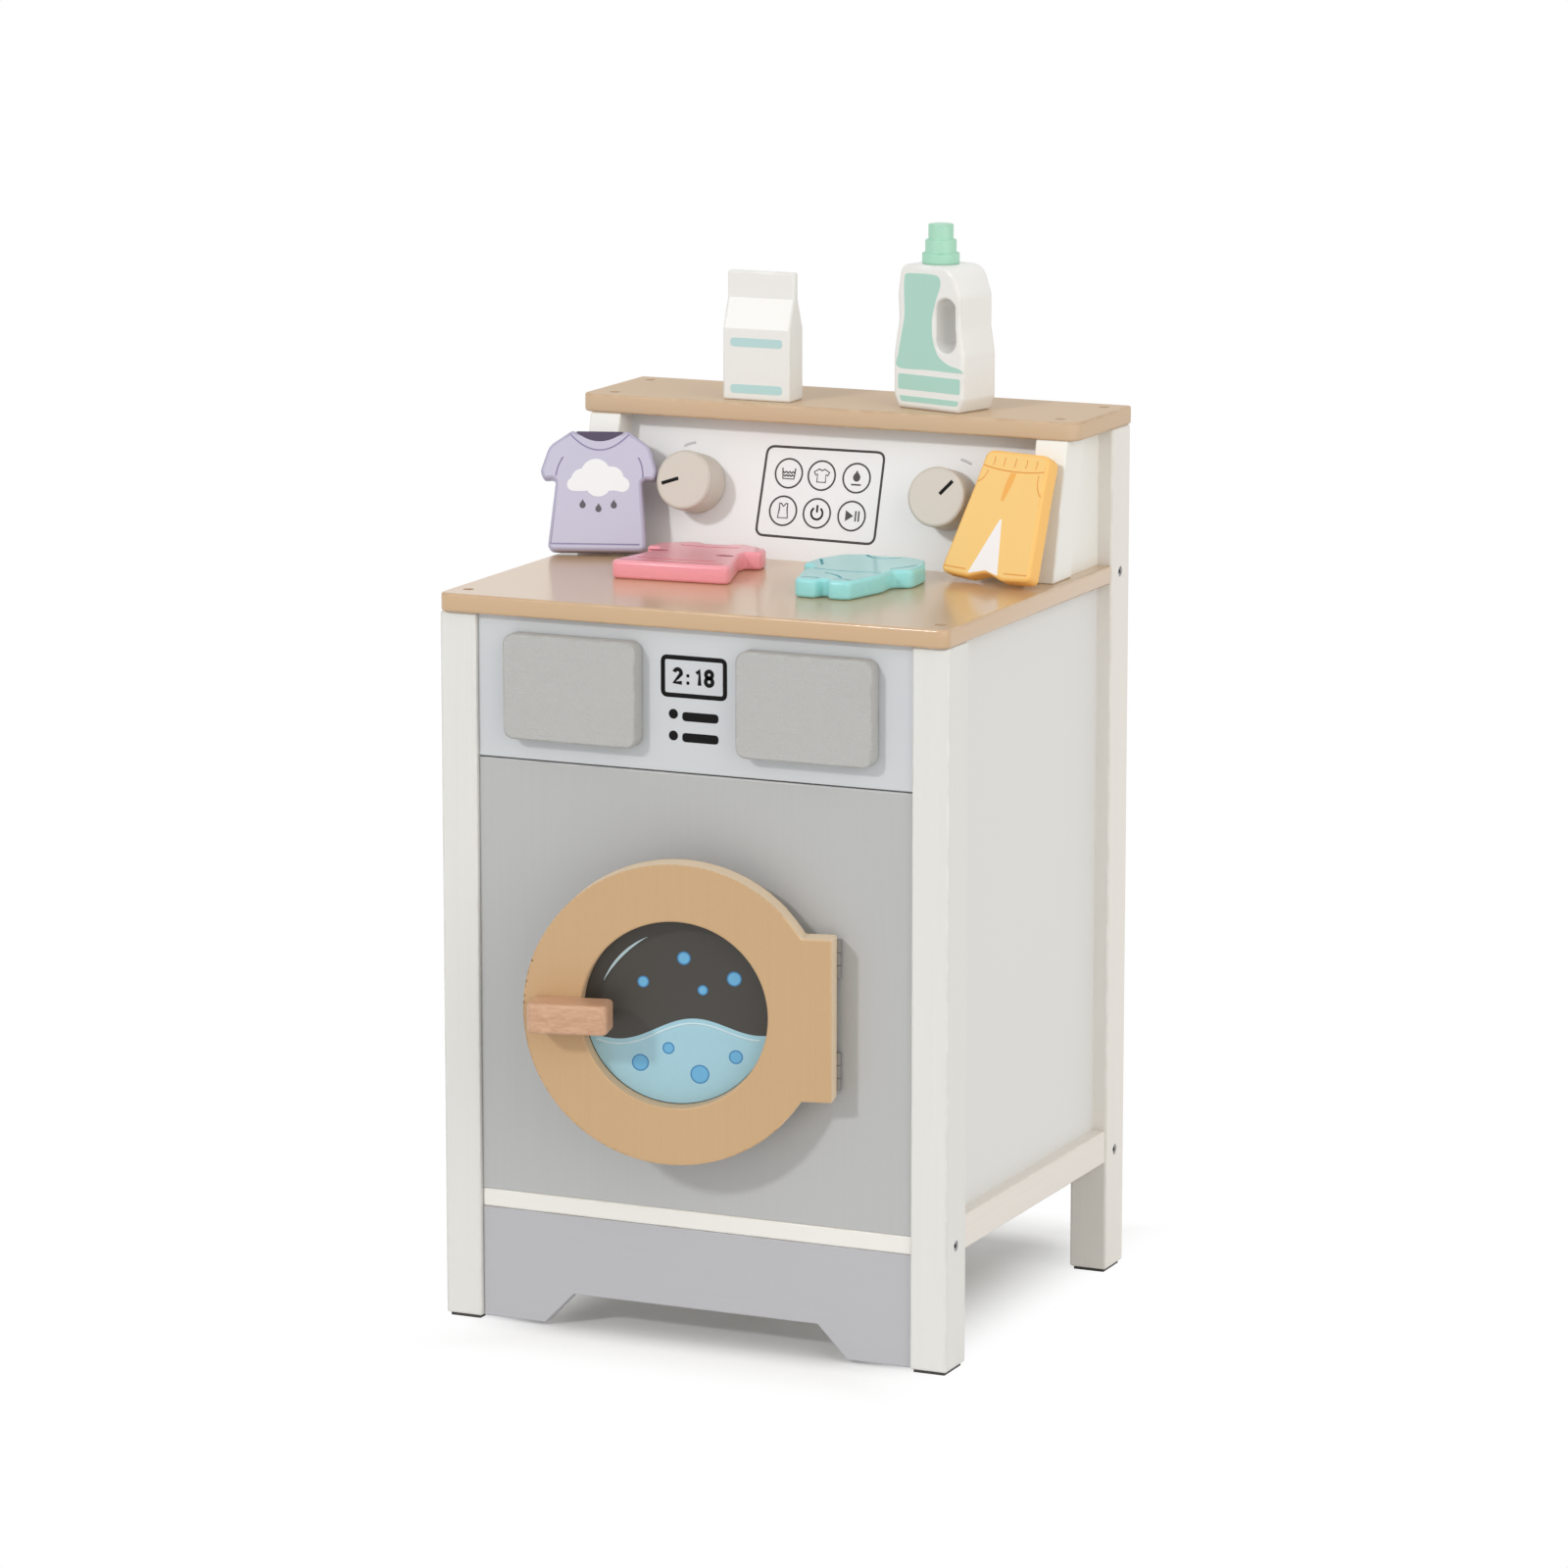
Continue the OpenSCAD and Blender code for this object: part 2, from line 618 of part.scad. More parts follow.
// puts a piece on the control panel: +Z points out of its face
module on_panel(x, s, out)
  translate([x, control_y + s * sin(lean), counter_top + s * cos(lean)])
    rotate([90 - lean, 0, 0]) translate([0, 0, out]) children();
module control_panel() color("#f0f1f3") placed() difference() {
  slice_x(-stile_in, stile_in, [[control_y, counter_top], [control_y1, counter_top],
    [control_y1 + lean_run, shelf_h], [control_y + lean_run, shelf_h]]);
  for (x = [-knob_left_x, knob_right_x])
    on_panel(x, knob_s, -panel_t - eps) cylinder(r = dowel_r + dowel_clear, h = panel_t + 2 * eps);
}
module top_shelf() color(tan_paint) placed() difference() {
  translate([0, 0, shelf_h]) linear_extrude(board_t)
    front_rounded(half_w + shelf_over, shelf_f, rear_y, shelf_r);
  for (s = [-1, 1]) {
    screw_cut(s * counter_screw_x, shelf_screw_rear_y, shelf_top, screw_reach);
    screw_cut(s * shelf_screw_front_x, shelf_screw_front_y, shelf_top, screw_reach);
  }
}
module wood_screw(x, y, top) translate([x, y, top - screw_sink]) {
  translate([0, 0, -screw_head_h]) difference() {
    cylinder(r = screw_head_r, h = screw_head_h);
    for (a = [0, 90]) rotate([0, 0, a])
      translate([0, 0, screw_head_h]) cube([screw_head_r * 1.2, screw_head_r / 4, screw_head_h], center = true);
  }
  translate([0, 0, -screw_head_h - screw_len]) cylinder(r = screw_r, h = screw_len + eps);
}
module counter_screws() color(steel) placed()
  for (s = [-1, 1]) wood_screw(s * counter_screw_x, counter_screw_y, counter_top);
module shelf_screws() color(steel) placed() for (s = [-1, 1]) {
  wood_screw(s * counter_screw_x, shelf_screw_rear_y, shelf_top);
  wood_screw(s * shelf_screw_front_x, shelf_screw_front_y, shelf_top);
}
module side_bolt(s, y, z)
  along_x(s * (half_w - bolt_sink), y, z) mirror([0, 0, s > 0 ? 1 : 0]) {
    difference() {
      cylinder(r = bolt_head_r, h = bolt_head_h);
      translate([0, 0, -eps]) cylinder(r = bolt_key / 2 / cos(30), h = bolt_head_h * 0.6, $fn = 6);
    }
    translate([0, 0, bolt_head_h - eps]) cylinder(r = bolt_r, h = post_w + bolt_grip - bolt_head_h - bolt_sink);
  }
module side_bolts() color(steel) placed() for (s = [-1, 1]) {
  side_bolt(s, bolt_front_y, bolt_low_z);
  side_bolt(s, bolt_rear_y, bolt_low_z);
  side_bolt(s, bolt_rear_y, bolt_high_z);
}

// ---------- door ----------
module swung() placed() translate([hinge_x, hinge_y, 0]) rotate([0, 0, ajar])
  translate([-hinge_x, -hinge_y, 0]) children();
module door_magnet() color("#d9d9d6") placed()
  along_y(catch_x, panel_f - door_gap + magnet_gap, door_z) cylinder(r = magnet_r, h = door_gap - magnet_gap);
module knuckle(z, h) translate([hinge_x, hinge_y, z]) difference() {
  cylinder(r = knuckle_r, h = h, $fn = 48);
  translate([0, 0, -eps]) cylinder(r = pin_r + pin_clear, h = h + 2 * eps, $fn = 48);
}
leaf_end = hinge_x - knuckle_r - knuckle_gap;
module pin_space(z) translate([hinge_x, hinge_y, z - hinge_h / 2 - eps])
  cylinder(r = pin_r + pin_clear, h = hinge_h + 2 * eps, $fn = 48);
module hinge_leaves_fixed() color(steel) placed() difference() {
  for (z = hinge_mid) {
    z0 = z - hinge_h / 2;
    box(hinge_x - leaf_w, leaf_end, panel_f - leaf_t, panel_f, z0, z0 + hinge_h);
    for (d = [0, 2]) {
      k = z0 + d * (knuckle_h + knuckle_gap);
      knuckle(k, knuckle_h);
      box(leaf_end - eps, hinge_x, panel_f - leaf_t, panel_f, k, k + knuckle_h);
    }
  }
  for (z = hinge_mid) pin_space(z);
  leaf_screws_at(panel_f - leaf_t - eps, leaf_t + 2 * eps);
}
module hinge_pins() color("#b4b6b8") placed()
  for (z = hinge_mid) translate([hinge_x, hinge_y, z - hinge_h / 2]) cylinder(r = pin_r, h = hinge_h, $fn = 48);
module leaf_screw(y, s) for (z = hinge_mid, d = [-1, 1])
  translate([hinge_x - leaf_w + leaf_head_r + 2 * leaf_t, y, z + d * hinge_h / 3]) rotate([-90 * s, 0, 0]) {
    translate([0, 0, -leaf_head_h]) cylinder(r = leaf_head_r, h = leaf_head_h, $fn = 32);
    translate([0, 0, -eps]) cylinder(r = leaf_screw_r, h = leaf_screw_len + leaf_t, $fn = 32);
  }
module hinge_screws_fixed() color(steel) placed() leaf_screw(panel_f - leaf_t, 1);
module hinge_leaves_door() color(steel) swung() difference() {
  for (z = hinge_mid) {
    z0 = z - hinge_h / 2;
    box(hinge_x - leaf_w, leaf_end, door_back, door_back + leaf_t, z0, z0 + hinge_h);
    k = z0 + knuckle_h + knuckle_gap;
    knuckle(k, knuckle_h);
    box(leaf_end - eps, hinge_x, door_back, door_back + leaf_t, k, k + knuckle_h);
  }
  for (z = hinge_mid) pin_space(z);
  leaf_screws_at(door_back - eps, leaf_t + 2 * eps);
}
module hinge_screws_door() color(steel) swung() leaf_screw(door_back + leaf_t, -1);
module door_ring() color(ring_tan) swung() difference() {
  union() {
    along_y(0, door_front + door_ease, door_z) cylinder(r = door_r, h = door_t - 2 * door_ease, $fn = 180);
    along_y(0, door_front, door_z) cylinder(r1 = door_r - door_ease, r2 = door_r, h = door_ease, $fn = 180);
    along_y(0, door_back - door_ease, door_z) cylinder(r1 = door_r, r2 = door_r - door_ease, h = door_ease, $fn = 180);
    box(door_hole_r, hinge_x, door_front, door_back, door_z - ear_h / 2, door_z + ear_h / 2);
  }
  along_y(0, door_front - eps, door_z) cylinder(r = door_hole_r, h = door_t + 2 * eps, $fn = 144);
  along_y(0, door_back - window_t, door_z) cylinder(r = window_r + window_clear, h = window_t + eps, $fn = 144);
  along_y(catch_x, door_back - strike_t, door_z) cylinder(r = strike_r + screw_clear, h = strike_t + eps);
  for (d = [-1, 1]) along_y(handle_sx, door_front - eps, door_z + d * handle_screw_gap / 2) {
    cylinder(r = screw_r + screw_clear, h = door_t + 2 * eps, $fn = 32);
    translate([0, 0, door_t - handle_head_h - screw_sink])
      cylinder(r = handle_head_r + screw_clear, h = handle_head_h + screw_sink + 2 * eps, $fn = 48);
  }
  leaf_screws_at(door_back - leaf_screw_len - screw_clear, leaf_screw_len + screw_clear + eps);
}
module door_window() color("#4a4541") swung()
  along_y(0, door_back - window_t, door_z) cylinder(r = window_r, h = window_t, $fn = 144);
module door_strike() color(steel) swung()
  along_y(catch_x, door_back - strike_t, door_z) cylinder(r = strike_r, h = strike_t);
module door_handle() color(beech) swung() difference() {
  translate([handle_x + handle_len / 2, door_front - handle_d / 2, door_z - handle_h / 2])
    linear_extrude(handle_h) rounded_rect(handle_len, handle_d, handle_r);
  for (d = [-1, 1]) along_y(handle_sx, door_front - handle_bite - screw_clear, door_z + d * handle_screw_gap / 2)
    cylinder(r = screw_r + screw_clear, h = handle_bite + screw_clear + eps, $fn = 32);
}
module handle_screws() color(steel) swung()
  for (d = [-1, 1]) along_y(handle_sx, door_front - handle_bite, door_z + d * handle_screw_gap / 2) {
    cylinder(r = screw_r, h = handle_bite + door_t - screw_sink - handle_head_h + eps, $fn = 32);
    translate([0, 0, handle_bite + door_t - screw_sink - handle_head_h]) cylinder(r = handle_head_r, h = handle_head_h, $fn = 48);
  }

// ---------- drawers ----------
module drawer_at(s) placed() translate([s * drawer_x, 0, 0]) children();
box_end = drawer_back + drawer_box_len;
module drawer_front(s) color(plate_grey) drawer_at(s)
  translate([0, drawer_back, drawer_z]) rotate([90, 0, 0]) linear_extrude(drawer_front_t)
    rounded_rect(drawer_front_w, drawer_front_h, drawer_front_r);
module drawer_walls(s) color(plywood) drawer_at(s) for (e = [-1, 1]) mirror_x(e)
  box(drawer_box_w / 2 - drawer_wall, drawer_box_w / 2, drawer_back, box_end, box_z, box_z + drawer_box_h);
module drawer_floor(s) color(plywood) drawer_at(s)
  box(-drawer_box_w / 2 + drawer_wall, drawer_box_w / 2 - drawer_wall, drawer_back, box_end - drawer_wall,
    box_z, box_z + drawer_floor);
module drawer_rear(s) color(plywood) drawer_at(s)
  box(-drawer_box_w / 2 + drawer_wall, drawer_box_w / 2 - drawer_wall, box_end - drawer_wall, box_end,
    box_z, box_z + drawer_box_h);

// ---------- knobs ----------
module knob(x) color(taupe) placed() on_panel(x, knob_s, knob_gap) difference() {
  union() {
    cylinder(r = knob_r, h = knob_h - knob_ease, $fn = 120);
    translate([0, 0, knob_h - knob_ease]) cylinder(r1 = knob_r, r2 = knob_r - knob_ease, h = knob_ease, $fn = 120);
  }
  translate([0, 0, -eps]) cylinder(r = dowel_r, h = dowel_set + eps);
}
module knob_dowel(x) color(beech) placed() on_panel(x, knob_s, 0) {
  translate([0, 0, -panel_t - keeper_gap]) cylinder(r = dowel_r, h = panel_t + keeper_gap + knob_gap + dowel_set);
  translate([0, 0, -panel_t - keeper_gap - keeper_t]) cylinder(r = keeper_r, h = keeper_t + eps);
}

// ---------- play clothes ----------
module leaning(x, y, turn, tilt) placed()
  translate([x, y, counter_top + cloth_t * sin(tilt) + rest_gap])
    rotate([0, 0, turn]) rotate([-tilt, 0, 0]) rotate([90, 0, 0]) mirror([0, 0, 1]) children();
// a twelfth of the clothes' thickness, which their corner radii are multiples of
nib = cloth_t / 12;
tee_half = [[tee_hem, 0, 4 * nib], [tee_chest, tee_h * 0.6, 3 * nib],
  [tee_span - 2 * nib, tee_h * 0.6 - nib, 3 * nib], [tee_span, tee_h * 0.66, 5 * nib],
  [tee_span * 0.86, tee_h * 0.87, 12 * nib], [tee_neck + 2 * nib, tee_h, 3 * nib],
  [tee_neck - nib, tee_h - 1.6 * nib, nib]];
module play_shirt() color("#c3beD4") leaning(-tee_x, tee_y, tee_turn, tee_lean)
  linear_extrude(cloth_t) polygon(soft_outline(both_sides(tee_half)));
trousers_half = [[trousers_span - trousers_leg, 0, 8 * nib], [trousers_span, 1.5 * nib, 4 * nib],
  [trousers_waist + 2.5 * nib, trousers_h * 0.72, 8 * nib], [trousers_waist, trousers_h, 6 * nib]];
module play_trousers() color("#fcd078") leaning(trousers_x, trousers_y, trousers_turn, trousers_lean)
  linear_extrude(cloth_t) polygon(soft_outline(concat([[0, trousers_arch, 14 * nib]],
    trousers_half, [for (i = [3 : -1 : 0]) [-trousers_half[i].x, trousers_half[i].y, trousers_half[i].z]])));
module lying(x, y, turn) placed() translate([x, y, counter_top]) rotate([0, 0, turn]) children();
dress_half = [[dress_hem, 0, 5 * nib], [dress_waist, dress_h * 0.56, 6 * nib],
  [dress_waist + nib, dress_h * 0.66, 2 * nib], [dress_span, dress_h * 0.69, 4 * nib],
  [dress_span - 2 * nib, dress_h * 0.86, 8 * nib], [dress_neck + 8 * nib, dress_h, 5 * nib],
  [dress_neck, dress_h, nib], [dress_neck - 5 * nib, dress_h - 5 * nib, 4 * nib]];
module play_dress() color("#f4969b") lying(-dress_x, dress_y, dress_turn)
  linear_extrude(cloth_t) polygon(soft_outline(both_sides(dress_half)));
romper_half = [[romper_gap, 0, 4 * nib], [romper_foot, nib, 6 * nib], [romper_hip, romper_h * 0.33, 16 * nib],
  [romper_hip - nib, romper_h * 0.5, 5 * nib], [romper_span, romper_h * 0.54, 6 * nib],
  [romper_span - nib, romper_h * 0.76, 12 * nib], [romper_span - 9 * nib, romper_h * 0.94, 10 * nib],
  [romper_neck + 3 * nib, romper_h, 6 * nib], [romper_neck - 2 * nib, romper_h - 3 * nib, 5 * nib]];
module play_romper() color("#87d2d2") lying(romper_x, romper_y, romper_turn)
  linear_extrude(cloth_t) polygon(soft_outline(concat([[0, romper_crotch, 4 * nib]], romper_half,
    [for (i = [len(romper_half) - 1 : -1 : 0]) [-romper_half[i].x, romper_half[i].y, romper_half[i].z]])));

// ---------- carton and bottle ----------
carton_in = (carton_d - carton_top_t) / 2;
module powder_carton() color("#f4f4f2") placed() translate([-carton_x, carton_y, shelf_top])
  slice_x(-carton_w / 2, carton_w / 2, [[0, 0], [carton_d, 0], [carton_d, carton_shoulder],
    [carton_d - carton_in, carton_seam], [carton_d - carton_in, carton_h], [carton_in, carton_h],
    [carton_in, carton_seam], [0, carton_shoulder]]);
module bottle_pose() placed() translate([bottle_x, bottle_y, shelf_top]) rotate([0, 0, bottle_turn]) children();
grip_x = bottle_w / 2 - grip_wall - grip_r;
// a thirty-fifth of the bottle's depth, which its corner radii are multiples of
nub = bottle_d / 35;
bottle_half = bottle_w / 2;
bottle_outline = soft_outline([[4 * nub - bottle_half, 0, 3 * nub], [bottle_half - 4 * nub, 0, 3 * nub],
  [bottle_half, 9 * nub, 6 * nub], [bottle_half, bottle_h * 0.4, 12 * nub],
  [bottle_half - bottle_waist, bottle_h * 0.58, 20 * nub], [bottle_half - 3 * nub, bottle_h * 0.8, 14 * nub],
  [bottle_half - 10 * nub, bottle_h, 12 * nub], [6 * nub - bottle_half, bottle_h, 7 * nub],
  [3 * nub - bottle_half, bottle_h * 0.8, 14 * nub],
  [bottle_waist + nub - bottle_half, bottle_h * 0.62, 22 * nub],
  [-bottle_half, bottle_h * 0.38, 16 * nub], [-bottle_half, 9 * nub, 8 * nub]]);
module bottle_body() color("#f1f1ee") bottle_pose() difference() {
  translate([0, bottle_d / 2, 0]) rotate([90, 0, 0]) linear_extrude(bottle_d) polygon(bottle_outline);
  for (d = [-1, 1]) along_y(grip_x, -bottle_d / 2 - eps, grip_z + d * (grip_h / 2 - grip_r))
    cylinder(r = grip_r, h = bottle_d + 2 * eps);
  box(grip_x - grip_r, grip_x + grip_r, -bottle_d / 2 - eps, bottle_d / 2 + eps,
    grip_z - grip_h / 2 + grip_r, grip_z + grip_h / 2 - grip_r);
}
module bottle_cap() color("#9bdcb4") bottle_pose() translate([-cap_off, 0, bottle_h]) {
  cylinder(r = cap_r, h = cap_h);
  cylinder(r = cap_r - cap_step, h = cap_h + cap_mid_h);
  cylinder(r = cap_r - 2 * cap_step, h = cap_h + cap_mid_h + cap_top_h);
}

front_post(-1);  // post_front_left
front_post(1);  // post_front_right
back_post(-1);  // post_back_left
back_post(1);  // post_back_right
foot_pads();
side_rail(-1);  // side_rail_left
side_rail(1);  // side_rail_right
side_panel(-1);  // side_panel_left
side_panel(1);  // side_panel_right
floor_board();
plinth_panel();
front_panel();
fascia_panel();
back_panel();
runner_shelf();
drawer_guides();
countertop();
riser_stile(-1);  // riser_stile_left
riser_stile(1);  // riser_stile_right
riser_side(-1);  // riser_side_left
riser_side(1);  // riser_side_right
control_panel();
top_shelf();
counter_screws();
shelf_screws();
side_bolts();
door_magnet();
hinge_leaves_fixed();
hinge_pins();
hinge_screws_fixed();
door_ring();
door_window();
door_handle();
handle_screws();
door_strike();
hinge_leaves_door();
hinge_screws_door();
drawer_front(-1);  // drawer_front_left
drawer_walls(-1);  // drawer_walls_left
drawer_floor(-1);  // drawer_floor_left
drawer_rear(-1);  // drawer_rear_left
drawer_front(1);  // drawer_front_right
drawer_walls(1);  // drawer_walls_right
drawer_floor(1);  // drawer_floor_right
drawer_rear(1);  // drawer_rear_right
knob(-knob_left_x);  // knob_left
knob_dowel(-knob_left_x);  // knob_dowel_left
knob(knob_right_x);  // knob_right
knob_dowel(knob_right_x);  // knob_dowel_right
play_shirt();
play_trousers();
play_dress();
play_romper();
powder_carton();
bottle_body();
bottle_cap();
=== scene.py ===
# %% [markdown]
# # Dressing a play washing machine
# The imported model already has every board, knob and play piece at its true size. This lesson gives
# those solids their finish: rounded paint edges, printed marks, cut seam lines, and studio light.
# Blender works in metres, so one named value, mm, turns a maker's millimetres into scene units.

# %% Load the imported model
import json
import math

import bmesh
import bpy
from mathutils import Matrix, Vector
from mathutils.geometry import tessellate_polygon

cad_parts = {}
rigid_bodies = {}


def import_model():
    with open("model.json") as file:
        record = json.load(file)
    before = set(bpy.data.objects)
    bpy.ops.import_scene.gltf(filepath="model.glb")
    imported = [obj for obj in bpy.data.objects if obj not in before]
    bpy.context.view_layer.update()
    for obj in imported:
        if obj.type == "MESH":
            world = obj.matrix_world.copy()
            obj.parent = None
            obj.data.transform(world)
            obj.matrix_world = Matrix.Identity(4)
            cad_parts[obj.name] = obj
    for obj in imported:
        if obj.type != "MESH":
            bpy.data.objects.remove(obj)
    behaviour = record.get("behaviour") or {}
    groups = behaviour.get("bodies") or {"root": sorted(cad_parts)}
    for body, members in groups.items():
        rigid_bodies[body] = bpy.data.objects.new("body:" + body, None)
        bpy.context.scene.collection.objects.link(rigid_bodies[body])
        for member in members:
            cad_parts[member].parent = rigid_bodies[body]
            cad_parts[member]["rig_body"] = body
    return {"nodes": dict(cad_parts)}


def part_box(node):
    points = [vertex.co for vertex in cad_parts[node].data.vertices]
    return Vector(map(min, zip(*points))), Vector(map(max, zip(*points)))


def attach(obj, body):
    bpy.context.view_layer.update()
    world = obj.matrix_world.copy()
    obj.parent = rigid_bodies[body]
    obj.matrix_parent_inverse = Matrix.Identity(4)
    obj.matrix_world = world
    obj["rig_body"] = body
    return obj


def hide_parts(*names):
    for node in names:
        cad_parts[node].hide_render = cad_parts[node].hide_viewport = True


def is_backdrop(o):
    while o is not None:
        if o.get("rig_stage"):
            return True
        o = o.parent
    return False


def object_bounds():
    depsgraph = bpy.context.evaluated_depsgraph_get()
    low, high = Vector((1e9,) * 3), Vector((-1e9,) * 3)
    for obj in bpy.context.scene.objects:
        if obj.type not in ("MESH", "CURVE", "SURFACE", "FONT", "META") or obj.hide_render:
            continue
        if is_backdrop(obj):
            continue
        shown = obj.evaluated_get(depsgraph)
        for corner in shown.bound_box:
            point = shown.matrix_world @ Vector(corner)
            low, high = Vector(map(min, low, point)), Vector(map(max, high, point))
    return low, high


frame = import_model()
cad_low, cad_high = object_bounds()
cad_nodes = frame["nodes"]
body_of_node = {name: piece["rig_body"] for name, piece in cad_nodes.items()}
mm = 0.001

# %% [markdown]
# A maker measures from the middle of the case, not from the corner of a bounding box. Two opposite
# posts give that middle, so that every later place is written as it would be on a drawing.

# %% Find the middle of the case
case_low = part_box("post_front_left")[0]
case_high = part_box("post_back_right")[1]
middle_x = (case_low.x + case_high.x) / 2
middle_y = (case_low.y + case_high.y) / 2


def spot(x, y, z):
    """A place in millimetres from the middle of the case, as scene coordinates."""
    return Vector((middle_x + x * mm, middle_y + y * mm, z * mm))


counter_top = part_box("countertop")[1].z / mm
shelf_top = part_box("top_shelf")[1].z / mm
print("counter", round(counter_top, 2), "shelf", round(shelf_top, 2))

# %% [markdown]
# The camera stands well back with a long lens, to the right of the toy and a little above it, so that
# upright posts stay nearly parallel. It is made first, because the light is judged through it.

# %% Set up the camera
camera_turn = 24.29
camera_tilt = 11.076
camera_data = bpy.data.cameras.new("studio_camera")
camera_data.lens = 152.95
camera_data.sensor_width = 36
camera_data.clip_end = 60
camera = bpy.data.objects.new("studio_camera", camera_data)
camera.location = spot(1735.4, -3854.0, 1164.5)
camera.rotation_euler = (math.radians(90 - camera_tilt), 0, math.radians(camera_turn))
bpy.context.scene.collection.objects.link(camera)
bpy.context.scene.camera = camera
bpy.context.scene.view_settings.view_transform = "Standard"
print("camera turned", camera_turn, "tilted", camera_tilt, "lens", camera_data.lens)

# %% [markdown]
# ## Finishes
# Colours are mixed as a paint maker names them, in the 0 to 255 numbers of a colour card. Shaders
# want linear light, so one helper converts them. Another adds a node and wires its inputs, and the
# rest stand for the few steps that every finish repeats: a sum, a noise, a group, a new material.

# %% Helpers for shader nodes
def tone(red, green, blue):
    """A colour-card value as a linear colour."""
    def linear(part):
        part /= 255
        return part / 12.92 if part <= 0.04045 else ((part + 0.055) / 1.055) ** 2.4
    return (linear(red), linear(green), linear(blue), 1)


def add(tree, kind, wires=None, **settings):
    """Adds a node; wires maps an input to a value or to another node's output."""
    node = tree.nodes.new(kind)
    for key, value in settings.items():
        setattr(node, key, value)
    for key, value in (wires or {}).items():
        if isinstance(value, bpy.types.NodeSocket):
            tree.links.new(value, node.inputs[key])
        else:
            node.inputs[key].default_value = value
    return node


def math_node(tree, operation, first, second, third=0.0):
    """One sum; each term is a number or another node's output."""
    return add(tree, "ShaderNodeMath", {0: first, 1: second, 2: third}, operation=operation).outputs[0]


def noise(tree, place, scale, detail, **more):
    """A soft noise between 0 and 1; a larger scale makes it finer."""
    wires = {"Vector": place, "Scale": scale, "Detail": detail, **more}
    return add(tree, "ShaderNodeTexNoise", wires).outputs[0]


def swing(tree, source, amount):
    """A noise value turned into plus or minus half the amount."""
    return math_node(tree, "MULTIPLY", math_node(tree, "SUBTRACT", source, 0.5), amount)


def stretched(tree, place, grain):
    """A place multiplied by a grain, which is small along the fibres and large across them."""
    return add(tree, "ShaderNodeVectorMath", {0: place, 1: grain}, operation="MULTIPLY").outputs[0]


def blend(tree, factor, first, second):
    """One colour that goes over into another."""
    wires = {"Factor": factor, 6: first, 7: second}
    return add(tree, "ShaderNodeMix", wires, data_type="RGBA").outputs[2]


def new_group(name, inputs, outputs):
    """A shader group with named sockets; inputs are (name, kind, value)."""
    group = bpy.data.node_groups.new(name, "ShaderNodeTree")
    for label, kind, value in inputs:
        socket = group.interface.new_socket(label, in_out="INPUT", socket_type="NodeSocket" + kind)
        socket.default_value = value
    for label, kind in outputs:
        group.interface.new_socket(label, in_out="OUTPUT", socket_type="NodeSocket" + kind)
    return group, group.nodes.new("NodeGroupInput").outputs, group.nodes.new("NodeGroupOutput").inputs


def new_material(name, constants):
    """A material with constants on its shader's own sockets; returns it, its tree and its shader."""
    material = bpy.data.materials.new(name)
    material.use_nodes = True
    shader = material.node_tree.nodes["Principled BSDF"]
    for label, value in constants.items():
        shader.inputs[label].default_value = value
    return material, material.node_tree, shader


def join(tree, shader, colour, roughness, height, relief, depth):
    """Wires a colour, a roughness and a relief, whose depth is in metres, to the shader."""
    tree.links.new(colour, shader.inputs["Base Color"])
    tree.links.new(roughness, shader.inputs["Roughness"])
    bump = add(tree, "ShaderNodeBump", {"Height": height, "Strength": relief, "Distance": depth})
    tree.links.new(bump.outputs[0], shader.inputs["Normal"])


film_outputs = [("Colour", "Color"), ("Roughness", "Float"), ("Height", "Float")]
print("each finish has", [label for label, _ in film_outputs])

# %% [markdown]
# Satin paint on board is never one flat colour. The roller leaves a soft cloudiness and a fine
# orange peel, boards of solid wood print their grain through the film, and handled edges lose a
# little colour. All of this is one group, which each paint places with its own amounts. The edge
# tone comes from an attribute called edge, which the rounding step writes on the mesh. On the play
# clothes it also covers the whole cut side. There the edge tone is painted light on the pink and
# teal pieces and painted shade on the lavender and yellow ones, as well as wear.

# %% Paint film group
paint_film, given, result = new_group("paint_film", [
    ("Colour", "Color", (0.8, 0.8, 0.8, 1)), ("Edge tone", "Color", (0.8, 0.8, 0.8, 1)),
    ("Grain", "Vector", (60, 60, 60)), ("Cloud", "Float", 0.03), ("Streak", "Float", 0.02),
    ("Speck", "Float", 0.0), ("Wear and side light", "Float", 0.5), ("Even", "Float", 0.0), ("Gloss", "Float", 0.4)],
    film_outputs)
place = add(paint_film, "ShaderNodeTexCoord").outputs["Object"]
cloud = noise(paint_film, place, 9, 3)
streak = noise(paint_film, stretched(paint_film, place, given["Grain"]), 1, 4)
peel = noise(paint_film, place, 320, 2)
speck = noise(paint_film, place, 1500, 2)
bright = math_node(paint_film, "ADD", swing(paint_film, cloud, given["Cloud"]), 1.0)
bright = math_node(paint_film, "ADD", swing(paint_film, streak, given["Streak"]), bright)
bright = math_node(paint_film, "ADD", swing(paint_film, speck, given["Speck"]), bright)
film = add(paint_film, "ShaderNodeHueSaturation", {"Color": given["Colour"], "Value": bright}).outputs[0]
edge = add(paint_film, "ShaderNodeAttribute", attribute_name="edge").outputs["Fac"]
patchy = add(paint_film, "ShaderNodeMapRange", {
    "Value": noise(paint_film, place, 75, 3), "From Min": 0.38, "From Max": 0.62}).outputs[0]
patchy = math_node(paint_film, "MAXIMUM", patchy, given["Even"])
wear_and_side_mark = math_node(paint_film, "MULTIPLY", math_node(paint_film, "MULTIPLY", edge, patchy), given["Wear and side light"])
paint_film.links.new(blend(paint_film, wear_and_side_mark, film, given["Edge tone"]), result["Colour"])
rough = math_node(paint_film, "ADD", swing(paint_film, cloud, 0.08), given["Gloss"])
paint_film.links.new(math_node(paint_film, "MULTIPLY_ADD", wear_and_side_mark, 0.15, rough), result["Roughness"])
height = math_node(paint_film, "MULTIPLY_ADD", streak, 0.6, peel)
